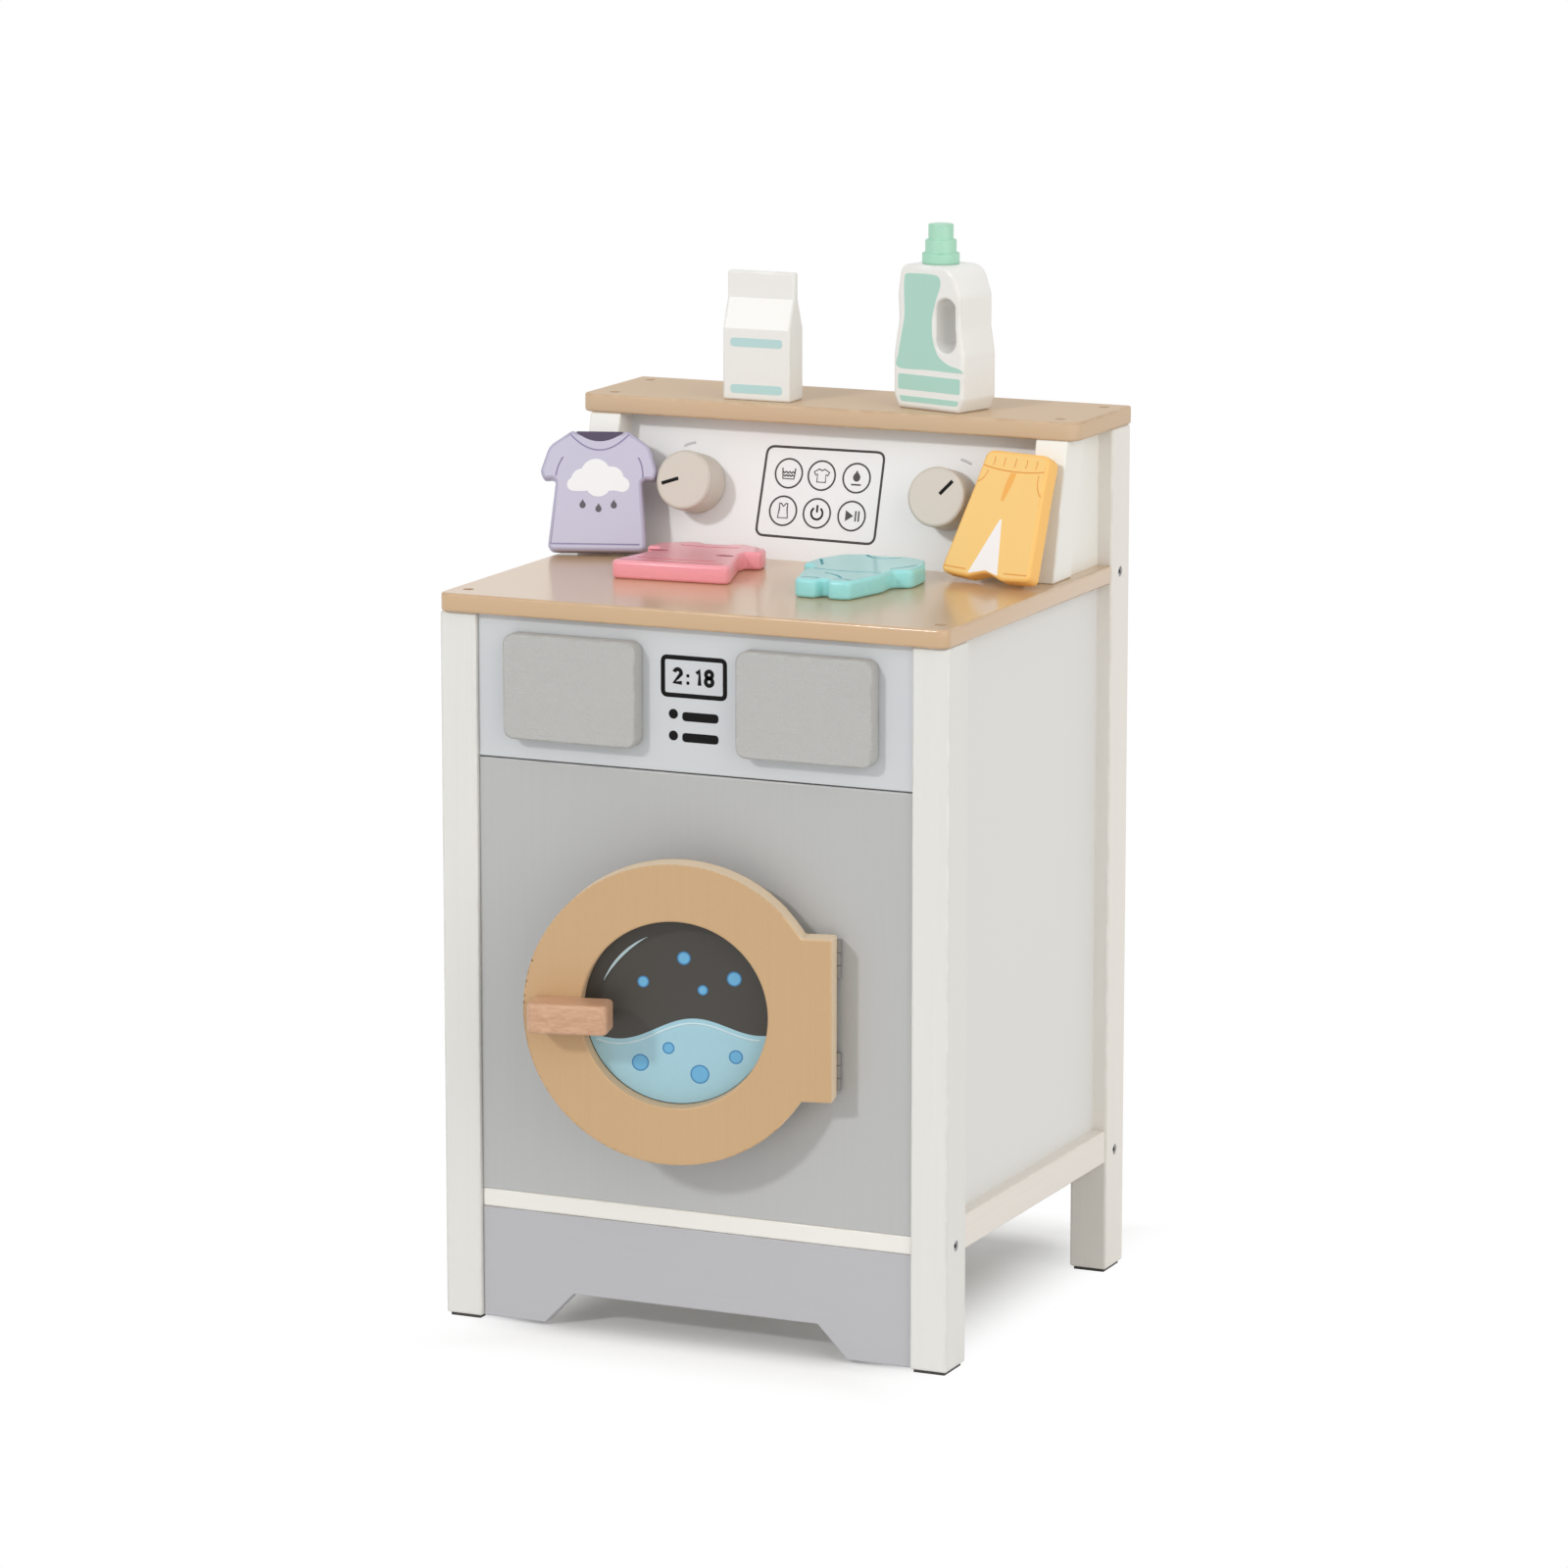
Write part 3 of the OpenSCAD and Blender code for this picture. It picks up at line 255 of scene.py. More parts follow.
speck_height = math_node(paint_film, "MULTIPLY_ADD", given["Speck"], 18.0, 0.1)
height = math_node(paint_film, "MULTIPLY_ADD", speck, speck_height, height)
paint_film.links.new(height, result["Height"])
print("paint film nodes", len(paint_film.nodes))

# %% Mix a paint
paint_depth = 0.0004


def paint(name, colour, edge_tone, gloss=0.4, cloud=0.03, streak=0.02, speck=0.0, wear_and_side_light=0.5,
          even=0.0, grain=(60, 60, 60), coat=0.0, coat_roughness=0.2, relief=0.12, specular=0.5):
    """A satin or matt paint for board and wood."""
    material, tree, shader = new_material(name, {
        "Coat Weight": coat, "Coat Roughness": coat_roughness, "Specular IOR Level": specular})
    film = add(tree, "ShaderNodeGroup", {
        "Colour": tone(*colour), "Edge tone": tone(*edge_tone), "Grain": grain, "Cloud": cloud,
        "Streak": streak, "Speck": speck, "Wear and side light": wear_and_side_light, "Even": even, "Gloss": gloss},
        node_tree=paint_film).outputs
    join(tree, shader, film["Colour"], film["Roughness"], film["Height"], relief, paint_depth)
    return material

# %% [markdown]
# Bare wood is beech for the handle and the dowels, and birch plywood for the drawer boxes. Both are
# made from the same two layers: long soft bands along the grain, and the short dark flecks that
# tell beech from other woods. The direction of the grain is an input, because each piece is cut
# from the plank its own way.

# %% Wood grain group
wood_grain, given, result = new_group("wood_grain", [
    ("Light", "Color", (0.8, 0.6, 0.4, 1)), ("Dark", "Color", (0.6, 0.4, 0.25, 1)),
    ("Grain", "Vector", (8, 120, 120)), ("Fleck", "Float", 0.4)], film_outputs)
along = stretched(wood_grain, add(wood_grain, "ShaderNodeTexCoord").outputs["Object"], given["Grain"])
bands = noise(wood_grain, along, 1.0, 5, Distortion=0.6)
pores = noise(wood_grain, along, 7.0, 2)
fleck = add(wood_grain, "ShaderNodeMapRange", {"Value": pores, "From Min": 0.58, "From Max": 0.68}).outputs[0]
fleck = math_node(wood_grain, "MULTIPLY", fleck, given["Fleck"])
spread = add(wood_grain, "ShaderNodeMapRange", {"Value": bands, "From Min": 0.3, "From Max": 0.7}).outputs[0]
depth = math_node(wood_grain, "ADD", spread, fleck)
wood_grain.links.new(blend(wood_grain, depth, given["Light"], given["Dark"]), result["Colour"])
wood_grain.links.new(math_node(wood_grain, "MULTIPLY_ADD", fleck, 0.15, 0.42), result["Roughness"])
wood_grain.links.new(math_node(wood_grain, "SUBTRACT", 0.5, depth), result["Height"])
print("wood grain nodes", len(wood_grain.nodes))

# %% Clear-coat a wood
wood_relief, fine_depth = 0.15, 0.0003


def bare_wood(name, light, dark, grain, fleck=0.4, coat=0.25):
    """Clear-coated wood; grain is small along the fibres and large across them."""
    material, tree, shader = new_material(name, {"Coat Weight": coat, "Coat Roughness": 0.3})
    wood = add(tree, "ShaderNodeGroup", {
        "Light": tone(*light), "Dark": tone(*dark), "Grain": grain, "Fleck": fleck},
        node_tree=wood_grain).outputs
    join(tree, shader, wood["Colour"], wood["Roughness"], wood["Height"], wood_relief, fine_depth)
    return material

# %% [markdown]
# Small fittings are zinc-plated steel, and the magnet sits in a moulded plastic case. A fine noise
# in the roughness is enough at their size. Printing ink lies on the paint as a thin matt film.

# %% Metal, plastic, felt and ink
def plain_finish(name, colour, roughness, metallic=0.0, scatter=0.06, scale=900, relief=0.1, specular=0.5):
    """A fine even finish whose colour and roughness vary a little."""
    material, tree, shader = new_material(name, {"Metallic": metallic, "Specular IOR Level": specular})
    fine = noise(tree, add(tree, "ShaderNodeTexCoord").outputs["Object"], scale, 3)
    value = math_node(tree, "ADD", swing(tree, fine, scatter * 2), 1.0)
    shade = add(tree, "ShaderNodeHueSaturation", {"Color": tone(*colour), "Value": value}).outputs[0]
    rough = math_node(tree, "ADD", swing(tree, fine, scatter * 2), roughness)
    join(tree, shader, shade, rough, fine, relief, fine_depth)
    return material

# %% [markdown]
# Brush and roller follow the length of a board, so each paint has its direction: upright on posts and
# fronts, across on shelves, fore and aft on the rails. The counter has a clear coat over its tan
# stain, and the play pieces of the wash are dipped in a thick one.

# %% Mix the paints of the case
upright, across, fore_and_aft = (420, 420, 9), (9, 420, 420), (420, 9, 420)
white = paint("white_paint", (225, 225, 221), (206, 203, 196), 0.38, 0.02, 0.05,
              wear_and_side_light=0.35, grain=upright, relief=0.18)
# The rear posts take a lighter, warmer copy of the white paint: painted light from the warm fill and the
# floor's bounce.
white_rear_lit = paint("white_rear_post_lit_paint", (231, 227, 220), (212, 206, 196), 0.38, 0.02, 0.05,
                   wear_and_side_light=0.35, grain=upright, relief=0.18)
white_flat = paint("white_board_paint", (223, 223, 221), (205, 200, 190), 0.42, 0.02, 0.015,
                   wear_and_side_light=0.4, grain=upright)
# The rails take a warmer copy of the white paint: painted warm light from the right.
white_rail_warm_lit = paint("white_rail_warm_lit_paint", (230, 224, 216), (214, 206, 192), 0.38, 0.02, 0.05,
                   wear_and_side_light=0.4, grain=fore_and_aft)
# The riser stiles, the riser sides and the floor board take a lighter copy of the white paint: painted light
# on parts that stand in shade.
white_lifted = paint("white_lifted_paint", (236, 235, 229), (214, 206, 192), 0.38, 0.02, 0.02,
                   wear_and_side_light=0.4, grain=across)
control_white = paint("control_paint", (235, 236, 237), (218, 214, 208), 0.34, 0.015, 0.012,
                      wear_and_side_light=0.3, grain=across)
front_grey = paint("grey_paint", (184, 185, 185), (206, 204, 200), 0.42, 0.03, 0.05,
                   wear_and_side_light=0.6, grain=upright, relief=0.15)
plinth_grey = paint("plinth_paint", (184, 184, 188), (168, 166, 166), 0.42, 0.03, 0.03,
                    wear_and_side_light=0.5, grain=across)
fascia_blue = paint("fascia_paint", (206, 209, 212), (196, 197, 200), 0.36, 0.02, 0.015,
                    wear_and_side_light=0.4, grain=across)
plate_grey = paint("plate_paint", (194, 194, 192), (166, 164, 158), 0.62, 0.03, 0.05, 0.30,
                   wear_and_side_light=0.4, grain=across, relief=0.6)
tan = paint("tan_paint", (203, 170, 132), (178, 144, 108), 0.30, 0.03, 0.02,
            wear_and_side_light=0.35, grain=across, coat=0.6, coat_roughness=0.16, relief=0.06)
shelf_tan = paint("shelf_paint", (207, 180, 149), (178, 144, 108), 0.48, 0.03, 0.02,
                  wear_and_side_light=0.35, grain=across, relief=0.06, specular=0.3)
ring_tan = paint("ring_paint", (197, 163, 122), (230, 210, 181), 0.45, 0.03, 0.045, 0.07,
                 wear_and_side_light=0.9, even=1.0, grain=upright)
taupe = paint("knob_paint", (208, 200, 190), (188, 180, 170), 0.5, 0.03, 0.03, 0.04,
              wear_and_side_light=0.5, grain=upright)
print("paints of the case", len(bpy.data.materials))

# %% Mix the paints of the play pieces
# The edge tones of the play paints also lie over the cut sides of the pieces: painted light on the pink and
# teal sides, painted shade on the lavender and yellow ones.
lavender = paint("lavender_paint", (195, 193, 214), (172, 167, 192), 0.42, 0.03, 0.03, wear_and_side_light=0.7, even=1.0)
yellow = paint("yellow_paint", (247, 204, 125), (249, 194, 108), 0.38, 0.03, 0.02, wear_and_side_light=0.9, even=1.0)
thick_coat = {"wear_and_side_light": 0.8, "even": 1.0, "coat": 0.5, "grain": (14, 60, 60), "relief": 0.6}
pink = paint("pink_paint", (236, 150, 162), (244, 156, 168), 0.30, 0.03, 0.02, **thick_coat)
teal = paint("teal_paint", (144, 213, 214), (152, 226, 228), 0.30, 0.03, 0.02, **thick_coat)
carton_white = paint("carton_paint", (234, 234, 231), (218, 216, 211), 0.4, 0.015, 0.01, wear_and_side_light=0.4)
bottle_white = paint("bottle_paint", (236, 236, 233), (220, 218, 212), 0.32, 0.015, 0.01, wear_and_side_light=0.4, coat=0.2)
mint = paint("mint_paint", (166, 216, 191), (142, 200, 172), 0.36, 0.03, 0.02, wear_and_side_light=0.5)
print("paints of case and play pieces", len(bpy.data.materials))

# %% Prepare wood, metal, felt and ink
beech = bare_wood("beech_handle", (211, 170, 138), (190, 144, 113), (42, 560, 560), 0.35)
beech_turned = bare_wood("beech_dowel", (216, 176, 138), (190, 146, 110), (300, 40, 300), 0.4)
plywood = bare_wood("birch_plywood", (226, 204, 168), (206, 178, 138), (160, 9, 160), 0.2, 0.15)
steel = plain_finish("zinc_steel", (168, 170, 172), 0.34, 1.0, 0.08, 1400)
felt = plain_finish("dark_felt", (74, 71, 70), 0.95, 0.0, 0.25, 1600, 0.8)
# The hinges are painted the dark grey of the door's shadow that they sit in: painted shade.
hinge_shade_grey = plain_finish("hinge_shade_grey", (134, 130, 126), 0.5, 0.0, 0.05, 900)
charcoal = plain_finish("window_charcoal", (62, 59, 54), 0.42, 0.0, 0.05, 300)
magnet_case = plain_finish("magnet_plastic", (218, 218, 214), 0.5, 0.0, 0.02)
ink = plain_finish("black_ink", (16, 14, 14), 0.6, 0.0, 0.06, 500, specular=0.15)
line_ink = plain_finish("grey_ink", (74, 70, 69), 0.5, 0.0, 0.06, 500, specular=0.3)
faint_ink = plain_finish("faint_ink", (206, 208, 212), 0.5, 0.0, 0.04, 500)
print("materials", len(bpy.data.materials))

# %% [markdown]
# ## From sharp solids to painted boards
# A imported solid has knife-sharp edges, which no painted board has: a router and sandpaper round them
# first. A Bevel modifier does the same. It must not touch the small bores, so sharp edges are gathered
# into chains, and only a chain that is longer than a bore gets a bevel weight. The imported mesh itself
# stays as it is; each board is a merged copy, which then stands for it.

# %% Copy a solid and find its edges
weld = 0.004  # millimetres
flat_turn, bend_turn, crease_turn = 0.4, 0.5, 32  # degrees


def merged(node):
    """A copy of a solid with its loose triangles joined and its flat faces whole."""
    work = bmesh.new()
    work.from_mesh(cad_nodes[node].data)
    bmesh.ops.remove_doubles(work, verts=work.verts, dist=weld * mm)
    bmesh.ops.dissolve_limit(
        work, angle_limit=math.radians(flat_turn), verts=work.verts[:], edges=work.edges[:])
    return work


def turn_across(edge):
    """The angle between the two faces of an edge, in degrees."""
    return math.degrees(edge.calc_face_angle(0)) if len(edge.link_faces) == 2 else 0


def chains(edges):
    """Edges that touch each other, gathered together."""
    left, found = set(edges), []
    while left:
        chain, front = [], [left.pop()]
        while front:
            edge = front.pop()
            chain.append(edge)
            for vert in edge.verts:
                for other in vert.link_edges:
                    if other in left:
                        left.remove(other)
                        front.append(other)
        found.append(chain)
    return found


def reach_of(chain):
    """The longest side of the box round a chain, in millimetres."""
    spots = [vert.co for edge in chain for vert in edge.verts]
    return max(max(s[i] for s in spots) - min(s[i] for s in spots) for i in range(3)) / mm


counter = merged("countertop")
sharp = chains([edge for edge in counter.edges if turn_across(edge) >= crease_turn])
print("countertop: edges", len(counter.edges), "sharp chains", len(sharp))
counter.free()

# %% Turn a bmesh into a piece, and modifiers into a mesh
def new_piece(name, work, *materials):
    """A piece at the origin whose place is in its mesh."""
    mesh = bpy.data.meshes.new(name)
    work.to_mesh(mesh)
    work.free()
    for material in materials:
        mesh.materials.append(material)
    piece = bpy.data.objects.new(name, mesh)
    bpy.context.scene.collection.objects.link(piece)
    return piece


def bake(piece):
    """Replaces a piece's mesh by what its modifiers make of it, and removes them."""
    graph = bpy.context.evaluated_depsgraph_get()
    mesh = bpy.data.meshes.new_from_object(piece.evaluated_get(graph))
    old = piece.data
    piece.modifiers.clear()
    piece.data = mesh
    bpy.data.meshes.remove(old)
    mesh.name = piece.name
    return mesh


def stands_for(piece, node, slot):
    """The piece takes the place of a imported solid, on the same body."""
    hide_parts(node)
    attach(piece, body_of_node[node])

# %% Round the edges of a board
def smooth_bends(mesh):
    """Keeps only the edges that turn far enough as creases."""
    work = bmesh.new()
    work.from_mesh(mesh)
    for edge in work.edges:
        edge.smooth = turn_across(edge) < crease_turn
    work.to_mesh(mesh)
    work.free()


def board(node, material, slot, ease=1.2, smallest=15, steps=3, prepare=None, crisp=False):
    """A painted copy of a solid with an ease in millimetres on each long sharp edge."""
    work = merged(node)
    if prepare:
        prepare(work)
    weight = work.edges.layers.float.new("bevel_weight_edge")
    for face in work.faces:
        face.smooth = not crisp and any(bend_turn < turn_across(edge) < crease_turn for edge in face.edges)
    for chain in chains([edge for edge in work.edges if turn_across(edge) >= crease_turn]):
        wide = reach_of(chain) > smallest
        for edge in chain:
            edge.smooth = False
            edge[weight] = float(wide)
    piece = new_piece("dressed_" + node, work, material, material)
    bevel = piece.modifiers.new("rounding", "BEVEL")
    bevel.limit_method, bevel.width, bevel.segments = "WEIGHT", ease * mm, steps
    bevel.use_clamp_overlap, bevel.material = False, 1
    mesh = bake(piece)
    wear_and_side_mark = mesh.attributes.new("edge", "FLOAT", "CORNER")
    values = [0.0] * len(mesh.loops)
    for face in mesh.polygons:
        if face.material_index == 1:
            face.use_smooth = True
            for corner in face.loop_indices:
                values[corner] = 1.0
        face.material_index = 0
    wear_and_side_mark.data.foreach_set("value", values)
    smooth_bends(mesh)
    mesh.materials.pop()
    stands_for(piece, node, slot)
    return piece

# %% Dress the boards
def both(stem, *finish):
    """The left and the right piece of a pair, with one finish."""
    return [(f"{stem}_{side}", *finish) for side in ("left", "right")]


# The rear posts, the rails and the riser stiles take the lighter or warmer copies of the white paint, which
# are painted light.
boards = [
    *both("post_front", white, "white_paint", 1.5), *both("post_back", white_rear_lit, "white_paint", 1.5),
    *both("side_rail", white_rail_warm_lit, "white_paint", 1.0), *both("riser_stile", white_lifted, "white_paint", 1.2),
    ("floor_board", white_lifted, "white_paint", 1.2), ("plinth_panel", plinth_grey, "plinth_paint", 0.8),
    ("front_panel", front_grey, "grey_paint", 1.0), ("fascia_panel", fascia_blue, "fascia_paint", 0.8),
    ("countertop", tan, "tan_paint", 1.6), ("top_shelf", shelf_tan, "tan_paint", 1.6),
    *both("drawer_front", plate_grey, "plate_paint", 1.4), ("door_handle", beech, "beech", 2.2),
    *both("knob", taupe, "knob_paint", 1.0), ("powder_carton", carton_white, "carton_paint", 1.4),
    ("bottle_cap", mint, "mint_paint", 0.9)]
for name, material, slot, ease in boards:
    piece = board(name, material, slot, ease, crisp=name == "powder_carton")
    print(name, "faces", len(piece.data.polygons))

# %% [markdown]
# The door ring is packed with a small flat chamfer on its rim. A router leaves a true quarter-round
# there, so the chamfer is first squared up: its two circles of points are moved together, and then
# the same rounding as on the boards goes round the rim, the hole and the ear.

# %% Square up the ring's rim, then round it
def face_frame(origin, right, up):
    """A flat place to work on: X to the right, Y up, Z out of the surface."""
    right, up = right.normalized(), up.normalized()
    out = right.cross(up)
    rows = [[right[i], up[i], out[i], origin[i]] for i in range(3)]
    return Matrix(rows + [[0, 0, 0, 1]])


rightwards, upwards = Vector((1, 0, 0)), Vector((0, 0, 1))
door_turn, door_height, ring_front = 13.7, 225, -169.8
ajar = Matrix.Rotation(math.radians(door_turn), 3, "Z")
hinge = spot(100.2, -149.4, door_height)


def door_plane(depth):
    """A plane of the open door; depth is its distance behind the ring's front."""
    middle = spot(0, ring_front + depth, door_height)
    return face_frame(hinge + ajar @ (middle - hinge), ajar @ rightwards, upwards)


ring_r, ring_thick, ring_chamfer, ring_ease = 96.0, 18.0, 1.0, 1.2
ear_from, ear_half = 70.0, 52.0
same_depth, same_radius, same_point, no_length = 0.02, 0.05, 0.05, 0.01


def square_up(work):
    """Moves both circles of the ring's chamfer to the corner that they cut off."""
    to_ring, moved = door_plane(0).inverted(), 0
    for vert in work.verts:
        place = to_ring @ vert.co / mm
        radius, deep = math.hypot(place.x, place.y), -place.z
        on_face = min(abs(deep), abs(deep - ring_thick)) < same_depth
        below = min(abs(deep - ring_chamfer), abs(deep - ring_thick + ring_chamfer)) < same_depth
        if on_face and abs(radius - ring_r + ring_chamfer) < same_radius:
            high = abs(place.y) * ring_r / radius
            if place.x > ear_from:
                high = min(high, ear_half)
            high = math.copysign(high, place.y)
            place.x, place.y = math.copysign(math.sqrt(ring_r ** 2 - high ** 2), place.x), high
        elif below and abs(radius - ring_r) < same_radius:
            place.z = -round(deep / ring_thick) * ring_thick
        else:
            continue
        vert.co = door_plane(0) @ (place * mm)
        moved += 1
    bmesh.ops.remove_doubles(work, verts=work.verts, dist=same_point * mm)
    bmesh.ops.dissolve_degenerate(work, edges=work.edges, dist=no_length * mm)
    print("ring points moved", moved)


door_ring = board("door_ring", ring_tan, "ring_paint", ring_ease, smallest=25, prepare=square_up)
print("ring faces", len(door_ring.data.polygons))

# %% [markdown]
# The sawn rim of the ring is paler than its face all round.
# The edge attribute says where: it grows over the rounding to its full value on the rim.

# %% Mark the ring's pale rim
flat_face, rim_from, hole_tone = 0.999, ring_r - 2, 0.3


def mark_rim(piece, plane):
    """Writes the edge attribute of the ring; its faces keep none."""
    mesh, to_plane, across_plane = piece.data, plane.inverted(), plane.to_3x3().inverted()
    values, marked = [0.0] * len(mesh.loops), 0
    for face in mesh.polygons:
        if abs((across_plane @ face.normal).z) > flat_face:
            continue
        place = to_plane @ face.center / mm
        outside = math.hypot(place.x, place.y) > rim_from
        marked += outside
        for corner in face.loop_indices:
            deep = -(to_plane @ mesh.vertices[mesh.loops[corner].vertex_index].co).z / mm
            over = max(0.0, min(deep, ring_thick - deep) / ring_ease)
            values[corner] = min(1.0, over) * (1.0 if outside else hole_tone)
    mesh.attributes["edge"].data.foreach_set("value", values)
    print("rim faces", marked)


mark_rim(door_ring, door_plane(0))

# %% [markdown]
# ## Play clothes and bottle
# These are sawn from board along a curved outline and then rounded all round with a router. A Bevel
# folds over itself where a curve is tighter than the rounding, so the outline is instead stepped
# inwards in small moves. Where two of its points meet they go on together, as they do under the
# router, and the rings join up into a clean rounded edge.

# %% Faces to work on
toy_thick, bottle_thick, clear_of_counter = 12.0, 35.0, 0.2


def leaning_face(x, y, turn, tilt):
    """The front of a piece that stands on the counter and leans back."""
    lift = counter_top + toy_thick * math.sin(math.radians(tilt)) + clear_of_counter
    pose = Matrix.Rotation(math.radians(turn), 3, "Z") @ Matrix.Rotation(math.radians(-tilt), 3, "X")
    return face_frame(spot(x, y, lift), pose @ rightwards, pose @ upwards)


def lying_face(x, y, turn):
    """The top of a piece that lies on the counter."""
    pose = Matrix.Rotation(math.radians(turn), 3, "Z")
    return face_frame(spot(x, y, counter_top + toy_thick), pose @ rightwards, pose @ Vector((0, 1, 0)))


shirt_face = leaning_face(-144.9, 14.7, 20, 18)
trousers_face = leaning_face(130.8, 9.0, -15.9, 25)
dress_face = lying_face(-59, -57, 4)
romper_face = lying_face(57, -79, 1)
bottle_turned = Matrix.Rotation(math.radians(-16), 3, "Z")
bottle_front = bottle_turned @ Vector((0, -bottle_thick / 2 * mm, 0))
bottle_face = face_frame(spot(70.5, 87.5, shelf_top) + bottle_front, bottle_turned @ rightwards, upwards)
for name, face in (("shirt", shirt_face), ("trousers", trousers_face), ("dress", dress_face),
                   ("romper", romper_face), ("bottle", bottle_face)):
    print(name, "face at", [round(value / mm, 1) for value in face.translation])

# %% Read an outline from a solid, and step it inwards
same_way = 0.9995


def outlines(node, face):
    """The closed outlines of the flat face that looks out of a frame, longest first, in millimetres."""
    work, out = merged(node), Vector((face[0][2], face[1][2], face[2][2]))
    flat = [f for f in work.faces if f.normal.dot(out) > same_way]
    border = {e for e in work.edges if sum(f in flat for f in e.link_faces) == 1}
    after = {c.vert: c.link_loop_next.vert for f in flat for c in f.loops if c.edge in border}
    loops, to_face = [], face.inverted()
    while after:
        vert = next(iter(after))
        loop = []
        while vert in after:
            loop.append((to_face @ vert.co) / mm)
            vert = after.pop(vert)
        loops.append(loop)
    work.free()
    print(node, "outline points", [len(loop) for loop in loops],
          "off the face by", round(max(abs(p.z) for loop in loops for p in loop), 3), "mm")
    loops.sort(key=len, reverse=True)
    return [[p.xy for p in loop] for loop in loops]


small_step, sharpest, met = 0.15, 0.4, 0.05


def step_inwards(loop, insets):
    """Moves a loop inwards; returns for each inset the points and which of them have met."""
    group = list(range(len(loop)))
    where = {i: Vector(p) for i, p in enumerate(loop)}
    found, done = {}, 0.0
    for target in sorted(insets):
        while done < target - 1e-9:
            step = min(small_step, target - done)
            order = [g for i, g in enumerate(group) if g != group[i - 1]]
            moved = {}
            for i, here in enumerate(order):
                p, q, r = where[order[i - 1]], where[here], where[order[(i + 1) % len(order)]]
                a, b = (q - p).normalized(), (r - q).normalized()
                inward = Vector((-a.y - b.y, a.x + b.x))
                inward.normalize()
                moved[here] = q + inward * (step / max(sharpest, inward.dot(Vector((-a.y, a.x)))))
            for i, here in enumerate(order):
                other = order[(i + 1) % len(order)]
                before, now = where[other] - where[here], moved[other] - moved[here]
                if now.dot(before) <= 0 or now.length < met:
                    middle = (moved[here] + moved[other]) / 2
                    moved[here] = moved[other] = middle
                    group = [other if g == here else g for g in group]
            where.update(moved)
            done += step
        found[target] = ([where[g].copy() for g in group], list(group))
    return found

# %% Build a slab with rounded edges
slab_crease_turn = 35


def slab(name, loops, levels, face, material, painted_side_light=0.0):
    """A flat piece from outlines; each outline has its levels, (inset, height), from front to back."""
    work = bmesh.new()
    wear_and_side_mark = work.loops.layers.float.new("edge")
    rings = [step_inwards(loop, {inset for inset, _ in steps}) for loop, steps in zip(loops, levels)]
    verts = {}
    for n, (ring, steps) in enumerate(zip(rings, levels)):
        for k, (inset, height) in enumerate(steps):
            for p, g in zip(*ring[inset]):
                if (n, k, g) not in verts:
                    verts[n, k, g] = work.verts.new((p.x * mm, p.y * mm, height * mm))
        for k in range(len(steps) - 1):
            upper, lower = ring[steps[k][0]][1], ring[steps[k + 1][0]][1]
            for i in range(len(upper)):
                j = (i + 1) % len(upper)
                corners = [verts[n, k, upper[i]], verts[n, k + 1, lower[i]],
                           verts[n, k + 1, lower[j]], verts[n, k, upper[j]]]
                corners = list(dict.fromkeys(corners))
                if len(corners) > 2 and not work.faces.get(corners):
                    side = work.faces.new(corners)
                    side.smooth = True
                    # Where the piece asks for it, the whole cut side takes the paint's edge tone, which is
                    # the painted light or painted shade that this paint sets.
                    for corner in side.loops:
                        corner[wear_and_side_mark] = max(painted_side_light, float(steps[k][0] != steps[k + 1][0]))
    for flip in (False, True):
        last = [(len(steps) - 1) * flip for steps in levels]
        rounds = [list(dict.fromkeys(ring[steps[k][0]][1])) for ring, steps, k in zip(rings, levels, last)]
        flat = [verts[n, last[n], g] for n, ids in enumerate(rounds) for g in ids]
        spots = [[verts[n, last[n], g].co for g in ids] for n, ids in enumerate(rounds)]
        for three in tessellate_polygon(spots):
            corners = [flat[i] for i in three]
            if (corners[1].co - corners[0].co).cross(corners[2].co - corners[0].co).z < 0:
                corners.reverse()
            work.faces.new(reversed(corners) if flip else corners)
    for edge in work.edges:
        edge.smooth = turn_across(edge) < slab_crease_turn
    bmesh.ops.transform(work, matrix=face, verts=work.verts)
    open_edges = sum(len(edge.link_faces) != 2 for edge in work.edges)
    print(name, "faces", len(work.faces), "open edges", open_edges)
    return new_piece(name, work, material)


def rounded_levels(thick, ease, steps=4):
    """Heights and insets of a quarter-round at the front and at the back."""
    turns = [math.pi / 2 * k / steps for k in range(steps + 1)]
    front = [(round(ease * (1 - math.sin(a)), 4), -ease * (1 - math.cos(a))) for a in turns]
    return front + [(inset, -thick - height) for inset, height in reversed(front)]

# %% Cut out the clothes and the bottle
shaped = {}
# The last number lays the paint's edge tone over the whole cut side: painted light on the pink and teal
# pieces, painted shade on the lavender and yellow ones, none on the bottle.
for node, face, material, slot, thick, ease, painted_side_light in [
        ("play_shirt", shirt_face, lavender, "lavender_paint", toy_thick, [2.2], 1.0),
        ("play_trousers", trousers_face, yellow, "yellow_paint", toy_thick, [2.0], 1.0),
        ("play_dress", dress_face, pink, "pink_paint", toy_thick, [2.4], 1.0),
        ("play_romper", romper_face, teal, "teal_paint", toy_thick, [2.4], 1.0),
        ("bottle_body", bottle_face, bottle_white, "bottle_paint", bottle_thick, [3.0, 1.8], 0.0)]:
    loops = outlines(node, face)
    levels = [rounded_levels(thick, radius) for radius in ease[:len(loops)]]
    piece = slab("dressed_" + node, loops, levels, face, material, painted_side_light)
    stands_for(piece, node, slot)
    shaped[node] = piece

